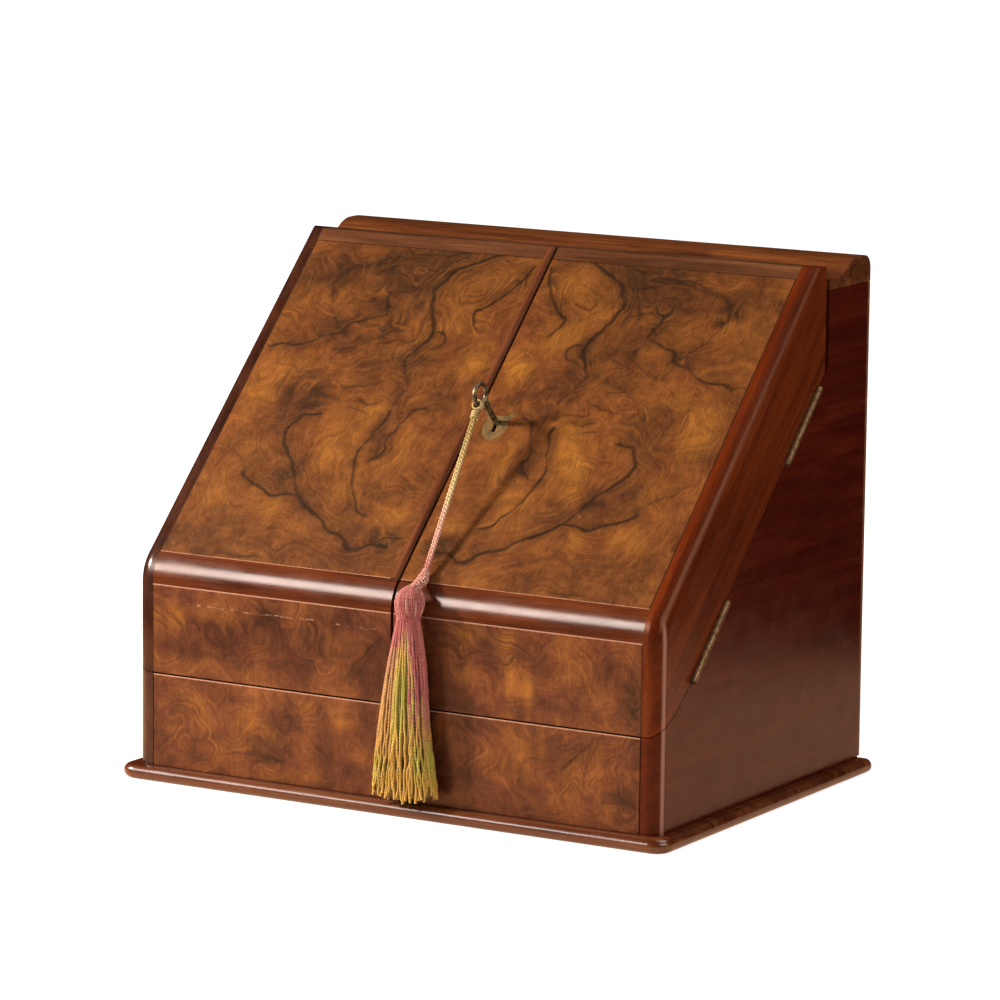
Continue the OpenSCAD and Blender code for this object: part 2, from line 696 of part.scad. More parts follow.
module door_left_panel() color(burr) placed() difference() {
    slope_panel(-half_in, door_edge_left);
    bead_bed();
}

module door_left_apron() color(burr) placed() apron(-half_in, door_edge_left);
module door_left_nose() color(walnut) placed() nose_strip(-half_in, door_edge_left);
module door_left_rail() color(walnut) placed() difference() {
    top_rail(-half_in, door_edge_left);
    bead_bed();
}
module door_left_side() color(walnut) placed() mirror([1, 0, 0]) door_side();

module meeting_bead() color(walnut) placed() intersection() {
    on_slope() translate([door_edge_left - bead_w / 2, 0, 0]) rotate([90, 0, 0]) mirror([0, 0, 1])
        linear_extrude(slope_l + 10) {
            cap_r = (bead_w * bead_w / 4 + bead_h * bead_h) / (2 * bead_h);
            translate([-bead_w / 2, -bead_in]) square([bead_w, bead_in]);
            intersection() {
                translate([0, bead_h - cap_r]) circle(cap_r, $fn = 64);
                translate([-bead_w / 2, 0]) square([bead_w, bead_h]);
            }
        }
    across(-half_w, half_w) polygon([[0, 0], [0, door_top_z], [door_back_y, door_top_z], [door_back_y, 0]]);
}

// Lock: a hollow case on the back of the right panel, with a mouth for the bolt
module lock_case() color(brass) placed() on_slope() difference() {
    translate([lock_x, lock_s, lock_z - lock_d]) cube([lock_w, lock_l, lock_d]);
    translate([lock_x + lock_t, lock_s + lock_t, lock_z - lock_d + lock_t])
        cube([lock_w - 2 * lock_t, lock_l - 2 * lock_t, lock_d - 2 * lock_t]);
    translate([lock_x - 1, bolt_low - 0.15, bolt_z - bolt_t / 2 - 0.15])
        cube([lock_t + 2, bolt_h + 0.3, bolt_t + 0.3]);
    translate([0, 0, lock_z - lock_t - 0.5]) linear_extrude(lock_t + 1) keyhole(0.2);
}

// Bolt with the talon that the key's bit turns in
module lock_bolt() color(brass) placed() on_slope() difference() {
    translate([bolt_rest_x, bolt_low, bolt_z - bolt_t / 2]) cube([bolt_l, bolt_h, bolt_t]);
    translate([key_x + bolt_throw / 2 - talon_w / 2, bolt_low - 1, bolt_z - bolt_t / 2 - 1])
        cube([talon_w, talon_d + 1, bolt_t + 2]);
}

// Keeper on the left leaf: a plate with a bridge round the bolt's path
module lock_keeper() color(brass) placed() on_slope() {
    right = door_edge_left - 0.5;
    mouth_low = bolt_low - keeper_clear;
    mouth_h = bolt_h + 2 * keeper_clear;
    back = bolt_z - bolt_t / 2 - keeper_clear;
    translate([right - 14, mouth_low - 6, lock_z - keeper_t]) cube([14, mouth_h + 12, keeper_t]);
    translate([right - 5, mouth_low - keeper_t, back - keeper_t])
        cube([5, keeper_t, lock_z - keeper_t - back + keeper_t]);
    translate([right - 5, mouth_low + mouth_h, back - keeper_t])
        cube([5, keeper_t, lock_z - keeper_t - back + keeper_t]);
    translate([right - 5, mouth_low, back - keeper_t]) cube([5, mouth_h, keeper_t]);
}

module escutcheon() color(brass) placed() on_slope() translate([0, 0, -shield_t])
    linear_extrude(shield_t) difference() {
        shield();
        keyhole(0.1);
    }

// Key: ring bow, collared shank, and a bit that hangs down the slope
module key() color(steel) placed() on_slope() translate([key_x, key_s, 0]) {
    tip = lock_z - lock_d + lock_t + 0.4;
    translate([0, 0, bow_z]) rotate([0, 90, 0]) rotate_extrude($fn = 96)
        translate([bow_r, 0]) circle(bow_stock_r, $fn = 32);
    translate([0, 0, tip]) cylinder(r = shank_r, h = bow_z - bow_r - tip, $fn = 32);
    for (z = [bow_z - bow_r - 4.6, bow_z - bow_r - 2]) translate([0, 0, z])
        cylinder(r = shank_r + 0.8, h = 1.2, $fn = 32);
    translate([-bit_t / 2, -bit_r, bolt_z - bit_h / 2]) cube([bit_t, bit_r, bit_h]);
}

// Screws of the doors' leaves
module door_right_screws() color(brass) placed() at_door_hinges() hinge_screws(hinge_l, split_gap, true);
module door_left_screws() color(brass) placed() mirror([1, 0, 0])
    at_door_hinges() hinge_screws(hinge_l, split_gap, true);

// Soft forms: a closed skin over rings of points, each ring as long as the first
module skin(rings) {
    n = len(rings[0]);
    last = len(rings) - 1;
    polyhedron(points = [for (r = rings) each r],
               faces = concat([[for (j = [n - 1:-1:0]) j]],
                              [for (i = [0:last - 1], j = [0:n - 1])
                                  let (k = (j + 1) % n) each [[i * n + j, i * n + k, (i + 1) * n + k],
                                                              [i * n + j, (i + 1) * n + k, (i + 1) * n + j]]],
                              [[for (j = [0:n - 1]) last * n + j]]));
}

// An oval ring about a middle point, facing along a direction that tilts in the side view
function oval(mid, rx, ry, tilt, n) = [for (j = [0:n - 1])
    let (a = -360 * j / n, u = ry * sin(a))
    [mid[0] + rx * cos(a), mid[1] - u * sin(tilt), mid[2] - u * cos(tilt)]];

// The loop of cord round the bow's ring, at its lowest point
module cord_loop() color("#c9a548") placed() on_slope() translate([key_x, key_s, bow_z]) {
    low = 22;
    loop_r = bow_stock_r + cord_d * 0.35 + 0.25;
    rotate([low, 0, 0]) translate([0, -bow_r, 0]) rotate_extrude($fn = 48)
        translate([loop_r, 0]) circle(cord_d * 0.35, $fn = 24);
}

module key_cord() color("#d0a24c") placed() {
    d = cord_route[len(cord_route) - 1] - cord_route[0];
    tilt = -atan2(-d[2], -d[1]);
    skin([for (p = cord_route) oval(p, cord_d / 2, cord_d / 2, tilt, cord_sides)]);
}

module tassel_head() color("#c96f6a") placed()
    skin([for (r = head_rings) oval(r[0], r[1], r[2], r[3], head_sides)]);

// Skirt: a fluted bell that spreads to its foot, flat against the drawer front behind it
module tassel_skirt() color("#b9a24a") placed() {
    n = flutes * 3;
    skin([for (i = [0:skirt_rings]) let (
            t = i / skirt_rings,
            z = skirt_top_z + (skirt_foot_z - skirt_top_z) * t,
            spread = 1 - pow(1 - t, 1.7),
            rx = 7.4 + (skirt_w / 2 - 7.4) * spread,
            ry = 6.2 + (skirt_d / 2 - 6.2) * spread,
            deep = 0.07 * min(1, 3 * t))
        [for (j = [0:n - 1]) let (a = -360 * j / n, k = 1 - deep * (j % 3 == 0 ? 1 : 0))
            [19.3 - 1.8 * t + rx * k * cos(a), -10.3 + 0.8 * t + ry * k * sin(a), z]]]);
}

// Drawer: lapped dovetails at the front, and a bottom in grooves
module tails() {
    pitch = drawer_side_h / 4;
    for (i = [0:3]) translate([0, 0, drawer_z + pitch * (i + 0.5)])
        across(0, drawer_side_t)
            polygon([[drawer_front_t, -pitch * 0.28], [drawer_front_t, pitch * 0.28],
                     [drawer_front_t - tail_l, pitch * 0.38], [drawer_front_t - tail_l, -pitch * 0.38]]);
}

module drawer_bottom_blank() translate([-(drawer_w / 2 - drawer_side_t + groove_in),
                                        drawer_front_t - groove_in, drawer_bottom_z])
    cube([drawer_w - 2 * drawer_side_t + 2 * groove_in, drawer_d - drawer_front_t + groove_in, drawer_bottom_t]);

module drawer_front() color(burr) placed() difference() {
    translate([-drawer_w / 2, 0, drawer_z]) cube([drawer_w, drawer_front_t, drawer_front_h]);
    for (side = [0, 1]) mirror([side, 0, 0]) translate([drawer_w / 2 - drawer_side_t, 0, 0]) tails();
    drawer_bottom_blank();
}

module drawer_side() difference() {
    translate([drawer_w / 2 - drawer_side_t, 0, 0]) {
        translate([0, drawer_front_t, drawer_z])
            cube([drawer_side_t, drawer_d - drawer_front_t, drawer_side_h]);
        tails();
    }
    drawer_bottom_blank();
}

// The right side has a notch that the drawer pin drops into
module drawer_side_right() color(plain_wood) placed() difference() {
    drawer_side();
    translate([drawer_w / 2 - drawer_side_t - 1, drop_y - drop_r - 0.4, drawer_z + drawer_side_h - drop - 1])
        cube([drawer_side_t + 2, 2 * drop_r + 0.8, drop + 2]);
}
module drawer_side_left() color(plain_wood) placed() mirror([1, 0, 0]) drawer_side();

module drawer_back() color(plain_wood) placed()
    translate([-(drawer_w / 2 - drawer_side_t), drawer_d - drawer_back_t, drawer_bottom_z + drawer_bottom_t])
        cube([drawer_w - 2 * drawer_side_t, drawer_back_t,
              drawer_side_h - (drawer_bottom_z - drawer_z) - drawer_bottom_t]);

module drawer_bottom() color(plain_wood) placed() drawer_bottom_blank();

// Brass pin, shown raised: pushed down it enters the drawer's right side and locks the drawer
module drawer_pin() color(brass) placed() translate([drop_x, drop_y, 0]) {
    knob_z = toe_z + drop + 0.3;
    foot_z = drawer_z + drawer_side_h + 0.3;
    translate([0, 0, foot_z]) cylinder(r = drop_r, h = knob_z - foot_z, $fn = 32);
    translate([0, 0, knob_z]) cylinder(r = 3.6, h = 3, $fn = 32);
    translate([0, 0, knob_z + 3]) cylinder(r1 = 3.6, r2 = 2.2, h = 1.2, $fn = 32);
}

base_board();
case_side_left();
case_side_right();
case_back();
back_rail();
drawer_floor();
compartment_wall();
rack_cheeks();
rack_divider_1();
rack_divider_2();
rack_divider_3();
rack_divider_4();
pen_tray();
ink_bottle_left();
ink_bottle_right();
ink_collar_left();
ink_collar_right();
hinge_case_leaves_left();
hinge_case_leaves_right();
hinge_pins_left();
hinge_pins_right();
hinge_case_screws();
lid_hinge_case_leaves();
lid_hinge_pins();
door_right_panel();
door_right_apron();
door_right_side();
door_right_nose();
door_right_rail();
hinge_door_leaves_right();
door_right_screws();
lock_case();
escutcheon();
lock_bolt();
key();
cord_loop();
key_cord();
tassel_head();
tassel_skirt();
door_left_panel();
door_left_apron();
door_left_side();
door_left_nose();
door_left_rail();
hinge_door_leaves_left();
door_left_screws();
meeting_bead();
lock_keeper();
lid_board();
lid_hinge_leaves();
lid_screws();
drawer_front();
drawer_side_left();
drawer_side_right();
drawer_back();
drawer_bottom();
drawer_pin();
ink_lid_left();
ink_lid_right();
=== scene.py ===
# %% [markdown]
# # A walnut stationery cabinet with two sloping doors
#
# The cabinet is a wooden case with a drawer, two deep doors that meet on the slope, a moulded lid, and a
# key that carries a cord and a silk tassel. The joinery comes from the CAD frame. Here it gets its
# veneer, polish, metal and silk. First we load the frame and note its box.

# %% Load the frame
import math
from functools import partial
import bpy
import bmesh
import numpy as np
from mathutils import Matrix, Vector, geometry


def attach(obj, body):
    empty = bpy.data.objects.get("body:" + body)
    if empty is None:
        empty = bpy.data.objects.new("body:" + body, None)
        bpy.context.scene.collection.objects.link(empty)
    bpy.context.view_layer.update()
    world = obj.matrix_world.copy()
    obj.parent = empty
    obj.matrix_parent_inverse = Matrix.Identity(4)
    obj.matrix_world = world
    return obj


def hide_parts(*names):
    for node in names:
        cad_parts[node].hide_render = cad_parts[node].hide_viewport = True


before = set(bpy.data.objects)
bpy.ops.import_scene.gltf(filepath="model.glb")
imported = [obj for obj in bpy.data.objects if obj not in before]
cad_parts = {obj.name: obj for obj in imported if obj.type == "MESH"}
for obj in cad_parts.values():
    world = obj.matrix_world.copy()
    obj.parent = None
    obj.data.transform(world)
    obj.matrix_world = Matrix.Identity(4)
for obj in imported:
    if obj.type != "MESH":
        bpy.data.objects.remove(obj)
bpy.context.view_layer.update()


def show(name, data):
    """Puts a mesh, a lamp or a camera into the scene"""
    thing = bpy.data.objects.new(name, data)
    bpy.context.scene.collection.objects.link(thing)
    return thing


# %% [markdown]
# ## The camera
# The photograph was taken with a long lens, a little above the slope's foot. The place of the eye, its
# three angles and the lens were worked out from the cabinet's own straight edges.

# %% Camera
eye, heart = Vector((1.70859, -2.91060, 0.75527)), Vector((0, 0, 0.17))
azimuth, elevation, roll = (math.radians(a) for a in (30.422, 9.582, 0.676))
back = Vector((math.sin(azimuth) * math.cos(elevation), -math.cos(azimuth) * math.cos(elevation),
               math.sin(elevation)))
level = Vector((math.cos(azimuth), math.sin(azimuth), 0))
upright = back.cross(level)
right = level * math.cos(roll) + upright * math.sin(roll)
top = upright * math.cos(roll) - level * math.sin(roll)
camera = show("camera", bpy.data.cameras.new("camera"))
camera.matrix_world = Matrix([[right[i], top[i], back[i], eye[i]] for i in range(3)] + [[0, 0, 0, 1]])
camera.data.lens, camera.data.sensor_width, camera.data.clip_end = 186.53, 36, 60
bpy.context.scene.camera = camera
print("camera stands", round((eye - heart).length, 2), "m away")

# %% [markdown]
# ## Measures of the cabinet
# The side view is drawn in millimetres from the front face and the floor. `here` turns such a point into
# metres in the frame, whose middle lies under the footprint. The slope has its own coordinates: across,
# up the slope from the top of the rounded nose, and out of the wood.

# %% Measures
mid_depth = 136.9
half_inside = 184
slope_low, slope_high, slope_depth = 143.4, 347, 206
slope_angle = math.atan2(slope_high - slope_low, slope_depth)
nose_radius = 28.5
nose_reach = nose_radius * math.tan((math.pi / 2 - slope_angle) / 2)
nose_foot = slope_low - nose_reach
slope_y = nose_reach * math.cos(slope_angle)
slope_z = slope_low + nose_reach * math.sin(slope_angle)
slope_length = math.hypot(slope_depth, slope_high - slope_low) - nose_reach
rail_width = 10.3
panel_length = slope_length - rail_width
drawer_foot, split_height = 9.7, 71.5
door_edge_right, door_edge_left, bead_width = 1.9, -0.3, 5.5
key_x, key_s, bow_height, bow_radius, bow_lean = 17.3, 129.9, 30, 7.2, math.radians(22)


def here(x, y, z):
    """A point of the side view, in millimetres, as a place in the frame"""
    return Vector((x, y - mid_depth, z)) / 1000


def on_slope(x, s, out):
    """A point on the slope: across, up from the nose, and out of the wood"""
    return here(x, slope_y + s * math.cos(slope_angle) - out * math.sin(slope_angle),
                slope_z + s * math.sin(slope_angle) + out * math.cos(slope_angle))


print("slope", round(math.degrees(slope_angle), 2), "degrees,", round(slope_length, 1), "mm long")

# %% [markdown]
# ## Tools of the shader bench
# Colours are written as they look on a screen, and one function turns them into light. One function adds
# a node: its settings, what goes into its sockets, and a ramp's stops. It gives back the output that the
# next node reads.


# %% Colours and nodes
def light(code):
    """A screen colour such as #80480f as linear light"""
    parts = [int(code[i:i + 2], 16) / 255 for i in (1, 3, 5)]
    return tuple(c / 12.92 if c < 0.04045 else ((c + 0.055) / 1.055) ** 2.4 for c in parts) + (1,)


def feed(node, values):
    """Fills inputs in their order or by their names: a socket is linked, a plain value is set"""
    for key, value in values.items() if isinstance(values, dict) else enumerate(values):
        if isinstance(value, bpy.types.NodeSocket):
            node.id_data.links.new(value, node.inputs[key])
        else:
            node.inputs[key].default_value = value


def add(tree, kind, into=(), stops=None, out=0, **settings):
    """Adds a node and gives one of its outputs"""
    node = tree.nodes.new(kind if kind.startswith(("Node", "Geometry")) else "ShaderNode" + kind)
    for key, value in settings.items():
        setattr(node, key, value)
    feed(node, into)
    if stops:
        band = node.color_ramp.elements
        for end in (0, -1):
            band[end].position, band[end].color = stops[end][0], light(stops[end][1])
        for place, code in stops[1:-1]:
            band.new(place).color = light(code)
    return node.outputs[out] if node.outputs else node


def new_finish(name):
    """A material: itself, what adds a node to it, its shader, and the place in millimetres"""
    finish = bpy.data.materials.new(name)
    finish.use_nodes = True
    put = partial(add, finish.node_tree)
    spot = put("TexCoord", out="Object")
    mm = put("VectorMath", (spot, (1000, 1000, 1000)), operation="MULTIPLY")
    return finish, put, finish.node_tree.nodes["Principled BSDF"], mm


# %% [markdown]
# ## Silk
# The cord and the tassel are old floss silk, dyed pink and gold, whose dyes have run and faded. Silk is
# soft and takes a sheen at its edges. The dye is laid on each thread as a colour attribute, so that one
# finish serves them all, and a fine noise breaks it into twisted strands, with painted shade in the hollows
# of each twist and a painted highlight on its ridges.

# %% Silk finish
def silk(name, dull, ply):
    """dull is how dark the painted shade in the twist's hollows goes; ply is how strongly each strand shows
    its twist
    """
    finish, put, shader, mm = new_finish(name)
    dye = put("Attribute", out="Color", attribute_name="dye")
    slant = put("VectorMath", (mm, (1.6, 0.6, 1.1)), operation="MULTIPLY")
    twist = put("TexNoise", {"Vector": slant, "Scale": 1.0, "Detail": 2.0})
    worn = put("TexNoise", {"Vector": mm, "Scale": 0.22, "Detail": 2.0})
    start = put("Attribute", out="Fac", attribute_name="turn")
    along = put("VectorMath", (mm, (2.2, 0.8, 2.8)), out="Value", operation="DOT_PRODUCT")
    wound = put("Math", (start, 60.0, along), operation="MULTIPLY_ADD")
    strand = put("Math", (wound,), operation="SINE")
    twist = put("Math", (strand, ply, twist), operation="MULTIPLY_ADD")
    # Painted shade in the twist's hollows, down to dull, and a painted highlight on its ridges, up to 1.15
    shade = put("MapRange", (twist, 0.3, 0.7, dull, 1.15))
    fade = put("MapRange", (worn, 0.3, 0.75, 0.88, 1.1))
    both = put("Math", (shade, fade), operation="MULTIPLY")
    tint = put("VectorMath", {0: dye, "Scale": both}, operation="SCALE")
    bump = put("Bump", {"Height": twist, "Strength": 0.5, "Distance": 0.0004})
    feed(shader, {"Base Color": tint, "Normal": bump, "Roughness": 0.62, "Sheen Weight": 0.15,
                  "Sheen Roughness": 0.4, "Specular IOR Level": 0.35})
    return finish


silk_cord = silk("floss_silk_plaited", 0.8, 0.0)
silk_tassel = silk("floss_silk_twisted", 0.62, 0.16)
print("silk finishes:", silk_cord.name, silk_tassel.name)

# %% [markdown]
# ## Threads from lines
# Every thread here is a line that we lay by rule, with a thickness at each point. A Geometry Nodes tree
# turns the lines into round threads: mesh to curve, curve to mesh with a small circle, and a finish. The
# thickness travels as an attribute, so a thread may swell and thin on its way.


# %% Thread tree
def thread_tree():
    tree = bpy.data.node_groups.new("threads_from_lines", "GeometryNodeTree")
    for name, way, kind in (("Lines", "INPUT", "Geometry"), ("Thread radius", "INPUT", "Float"),
                            ("Sides", "INPUT", "Int"), ("Finish", "INPUT", "Material"),
                            ("Threads", "OUTPUT", "Geometry")):
        tree.interface.new_socket(name, in_out=way, socket_type="NodeSocket" + kind)
    put = partial(add, tree)
    given = put("NodeGroupInput").node.outputs
    swell = put("GeometryNodeInputNamedAttribute", {"Name": "swell"}, data_type="FLOAT")
    curve = put("GeometryNodeMeshToCurve", (given["Lines"],))
    sized = put("GeometryNodeSetCurveRadius", {0: curve, "Radius": swell})
    ring = put("GeometryNodeCurvePrimitiveCircle",
               {"Resolution": given["Sides"], "Radius": given["Thread radius"]})
    body = put("GeometryNodeCurveToMesh", {"Curve": sized, "Profile Curve": ring, "Fill Caps": True})
    if "Scale" in body.node.inputs:
        feed(body.node, {"Scale": swell})
    real = put("GeometryNodeRealizeInstances", (body,))
    done = put("GeometryNodeSetMaterial", {0: real, "Material": given["Finish"]})
    put("NodeGroupOutput", (done,))
    return tree


threads_from_lines = thread_tree()
print("thread tree:", len(threads_from_lines.nodes), "nodes")


# %% Spinning the threads
def note(mesh, key, values, kind="FLOAT"):
    """Writes a value or a colour for each point of a mesh"""
    mesh.attributes.new(key, kind, "POINT").data.foreach_set("value" if kind == "FLOAT" else "color", values)


def spin_threads(name, lines, radius, sides, finish, body):
    """lines: for each thread its points, swell and dye at each point; all become one piece"""
    mesh = bpy.data.meshes.new(name)
    edges, start = [], 0
    for line in lines:
        edges += [(start + i, start + i + 1) for i in range(len(line) - 1)]
        start += len(line)
    mesh.from_pydata([tuple(p) for line in lines for p, _, _ in line], edges, [])
    note(mesh, "swell", [w for line in lines for _, w, _ in line])
    note(mesh, "dye", [c for line in lines for _, _, dye in line for c in dye], "FLOAT_COLOR")
    note(mesh, "turn", [(k * 0.618) % 1.0 for k, line in enumerate(lines) for _ in line])
    piece = show(name, mesh)
    spinner = piece.modifiers.new("spin", "NODES")
    spinner.node_group = threads_from_lines
    sizes = {"Thread radius": radius, "Sides": sides, "Finish": finish}
    for item in threads_from_lines.interface.items_tree:
        if item.in_out == "INPUT" and item.name in sizes:
            spinner[item.identifier] = sizes[item.name]
    bpy.context.view_layer.update()
    graph = bpy.context.evaluated_depsgraph_get()
    solid = bpy.data.meshes.new_from_object(piece.evaluated_get(graph), preserve_all_data_layers=True,
                                            depsgraph=graph)
    piece.modifiers.clear()
    piece.data = solid
    solid.name = name
    solid.shade_smooth()
    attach(piece, body)
    print(name, len(lines), "threads,", len(solid.polygons), "faces")
    return piece


# %% [markdown]
# ## The cord
# It hangs from the key's bow and lies over the slope to the tassel's tie: the photograph shows it from end
# to end, about 113 mm of a plait 3.4 mm wide. A three strand plait is easy to write down: each strand
# swings across once while it rises and sinks twice. Old gold above, it pales and turns pink below.

# %% Dyes
old_gold, gold, pale_gold = light("#a08748"), light("#bf9034"), light("#ccb27c")
faded_rose, rose, deep_rose = light("#cf9e88"), light("#ba6c62"), light("#964440")
olive, lime, straw, tan = (light(c) for c in ("#8c8228", "#aaa43a", "#cca650", "#a8784c"))
# Umber is painted shade: it darkens the inner threads and the core of the skirt
shade_umber = (0.05, 0.025, 0.006, 1)


def held(t):
    """A share, held between 0 and 1"""
    return min(max(t, 0), 1)


def blend_dyes(a, b, t):
    return tuple(p + (q - p) * held(t) for p, q in zip(a, b))


print("dyes ready, from", [round(c, 2) for c in old_gold[:3]])

# %% Cord
cord_width = 3.4
cord_route = [(17.4, 74.4, 253.9), (17.7, 67, 243), (17.9, 60, 232.7), (18.1, 53, 222.4), (18.4, 46, 212.1),
              (18.6, 39, 201.7), (18.9, 32, 191.4), (19.1, 25, 181.1), (19.3, 18, 170.8), (19.6, 11, 160.5)]
route = [here(*p) for p in cord_route]
cord_length = sum((b - a).length for a, b in zip(route, route[1:]))
across = Vector((1, 0, 0))
along = (route[-1] - route[0]).normalized()
aside = across.cross(along).cross(along).normalized() * -1
facing = along.cross(aside).normalized()


def at_length(d):
    """The point at distance d along the cord's route"""
    for a, b in zip(route, route[1:]):
        step = (b - a).length
        if d <= step:
            return a.lerp(b, d / step)
        d -= step
    return route[-1].copy()


plait_pitch, strand_radius, slack, strand_steps = 0.0085, 0.00078, 0.0003, 240
swing, rise = cord_width / 2000 - strand_radius + slack, 0.00062
plait = []
for k in range(3):
    strand = []
    for i in range(strand_steps + 1):
        d = cord_length * i / strand_steps
        turn = 2 * math.pi * (d / plait_pitch + k / 3)
        off = aside * swing * math.sin(turn) + facing * rise * math.sin(2 * turn)
        part = d / cord_length
        hue = blend_dyes(blend_dyes(old_gold, pale_gold, (part - 0.1) / 0.45), faded_rose,
                         (part - 0.5 + 0.05 * math.sin(40 * part + k)) / 0.2)
        strand.append((at_length(d) + off, 1.0, blend_dyes(hue, rose, (part - 0.85) / 0.15)))
    plait.append(strand)
cord = spin_threads("plaited_cord", plait, strand_radius, 8, silk_cord, "door_right")
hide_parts("key_cord")

# %% [markdown]
# ## Loop, head and tie
# Above, the cord is doubled through the ring of the bow and bound with a few turns. Below, it swells into
# the tassel's tie and head: a ball of thread with a wound surface, drawn in at the neck. The ball is laid
# as meridian threads over a core, so it is round from every side.

# %% Loop round the bow
ring_bottom = on_slope(key_x, key_s - bow_radius * math.cos(bow_lean),
                       bow_height - bow_radius * math.sin(bow_lean))
down = (on_slope(key_x, key_s, bow_height) - ring_bottom).normalized() * -1
tangent = across.cross(down).normalized()
loop_radius, loop_steps, loop_gap, loop_sway = 0.0029, 32, 0.0013, 0.0003
bind_from, bind_length, bind_half, bind_deep = 0.0002, 0.0052, 0.0021, 0.0019
bind_steps, bind_round = 60, 20
loop_lines = []
for k, shift in enumerate((-loop_gap, 0.0, loop_gap)):
    turnings = []
    for i in range(loop_steps + 1):
        a = 2 * math.pi * i / loop_steps + k
        spot = ring_bottom + tangent * (shift + loop_sway * math.sin(a * 2)) \
            + across * loop_radius * math.sin(a) + down * loop_radius * math.cos(a)
        turnings.append((spot, 1.0, blend_dyes(old_gold, pale_gold, 0.3 + 0.3 * math.sin(a))))
    loop_lines.append(turnings)
bind = []
for i in range(bind_steps + 1):
    a = 2 * math.pi * i / bind_round
    spot = at_length(bind_from + bind_length * i / bind_steps) + aside * bind_half * math.cos(a) \
        + facing * bind_deep * math.sin(a)
    bind.append((spot, 1.0, blend_dyes(old_gold, pale_gold, 0.2 + 0.2 * math.sin(a))))
loop = spin_threads("cord_loop_turns", loop_lines + [bind], 0.0008, 8, silk_cord, "key")
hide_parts("cord_loop")

# %% Head of the tassel
# Each ring: its middle in the side view, half width, half depth, and tilt in degrees
head_rings = [((19.6, 11, 160.5), 2, 2, -56), ((19.9, 8.5, 157.3), 3, 2.6, -50),
              ((20.6, 5, 154.6), 4.2, 2.9, -35), ((21, 1, 152.8), 4.4, 3, -22),
              ((20.8, -2.8, 151.6), 3.8, 2.8, -25), ((20.5, -5.5, 150.3), 4.6, 3.6, -42),
              ((20.3, -7.8, 148.4), 7.4, 6, -66), ((20.1, -9.3, 145.6), 9.4, 7.8, -84),
              ((20, -9.9, 141.8), 10.3, 8.6, -90), ((19.8, -10.1, 137.4), 9.6, 8.2, -90),
              ((19.5, -10.2, 133.8), 8.3, 7.2, -90), ((19.3, -10.3, 131.5), 7.8, 6.8, -90)]
neck_x, neck_y = 19.3, -10.3


def on_head(ring, angle, inward=0.0):
    """A point on the tassel head: ring number with fraction, angle, and depth under its surface in mm"""
    i = min(int(ring), len(head_rings) - 2)
    f = ring - i
    (m0, a0, b0, t0), (m1, a1, b1, t1) = head_rings[i], head_rings[i + 1]
    mid = [p + (q - p) * f for p, q in zip(m0, m1)]
    wide, deep = a0 + (a1 - a0) * f - inward, b0 + (b1 - b0) * f - inward
    tilt = math.radians(t0 + (t1 - t0) * f)
    u = deep * math.sin(angle)
    return here(mid[0] + wide * math.cos(angle), mid[1] - u * math.sin(tilt), mid[2] - u * math.cos(tilt))


ball_threads, ball_steps, tie_threads, tie_steps = 46, 44, 12, 56
ball_low, ball_rings, tie_low, tie_rings = 5.2, 5.8, 0.1, 5.6
neck_steps, neck_round, neck_wide, neck_thick, neck_high, neck_fall = 120, 36, 7.6, 6.6, 134.2, 3.2
head_lines = []
for j in range(ball_threads):
    line = []
    for i in range(ball_steps + 1):
        ring = ball_low + ball_rings * i / ball_steps
        shade = 0.45 + 0.45 * math.sin(j * 2.4) * math.sin(ring * 1.7 + j) + max(0, ring - 9.5) * 0.4
        line.append((on_head(ring, 2 * math.pi * j / ball_threads + 0.05 * (ring - 5), 0.5), 1.0,
                     blend_dyes(faded_rose if j % 5 == 0 else rose, deep_rose, shade)))
    head_lines.append(line)
for j in range(tie_threads):
    line = []
    for i in range(tie_steps + 1):
        ring = tie_low + tie_rings * i / tie_steps
        turn = 2 * math.pi * j / tie_threads + ring * (1.5 if j % 2 else -1.5)
        line.append((on_head(ring, turn, 0.55), 1.0,
                     blend_dyes(faded_rose, rose, 0.5 + 0.5 * math.sin(ring * 3 + j))))
    head_lines.append(line)
neck = []
for i in range(neck_steps + 1):
    a = 2 * math.pi * i / neck_round
    spot = here(neck_x + neck_wide * math.cos(a), neck_y + neck_thick * math.sin(a),
                neck_high - neck_fall * i / neck_steps)
    neck.append((spot, 1.0, blend_dyes(rose, deep_rose, 0.8 + 0.3 * math.sin(a * 3))))
head_lines.append(neck)
head = spin_threads("tassel_head_threads", head_lines, 0.00062, 6, silk_tassel, "door_right")
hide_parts("tassel_head")


# %% Core of the head
def padding(name, rings, dye):
    """A closed skin over rings of points, which fills the tassel under its threads"""
    n = len(rings[0])
    faces = [tuple(range(n)), tuple(range((len(rings) - 1) * n, len(rings) * n))]
    for i in range(len(rings) - 1):
        faces += [(i * n + j, (i + 1) * n + j, (i + 1) * n + (j + 1) % n, i * n + (j + 1) % n)
                  for j in range(n)]
    mesh = bpy.data.meshes.new(name)
    mesh.from_pydata([tuple(p) for ring in rings for p in ring], [], faces)
    shaper = bmesh.new()
    shaper.from_mesh(mesh)
    bmesh.ops.recalc_face_normals(shaper, faces=shaper.faces)
    shaper.to_mesh(mesh)
    shaper.free()
    note(mesh, "dye", [c for p in mesh.vertices for c in dye(p.co)], "FLOAT_COLOR")
    mesh.shade_smooth()
    mesh.materials.append(silk_tassel)
    piece = show(name, mesh)
    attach(piece, "door_right")


pad_sides, pad_rings, pad_depth = 28, 34, 0.9
pad = [[on_head(r, 2 * math.pi * j / pad_sides, pad_depth) for j in range(pad_sides)]
       for r in np.linspace(0.1, 10.9, pad_rings)]
padding("tassel_head_core", pad, lambda p: deep_rose)
print("cord", round(cord_length * 1000, 1), "mm long")
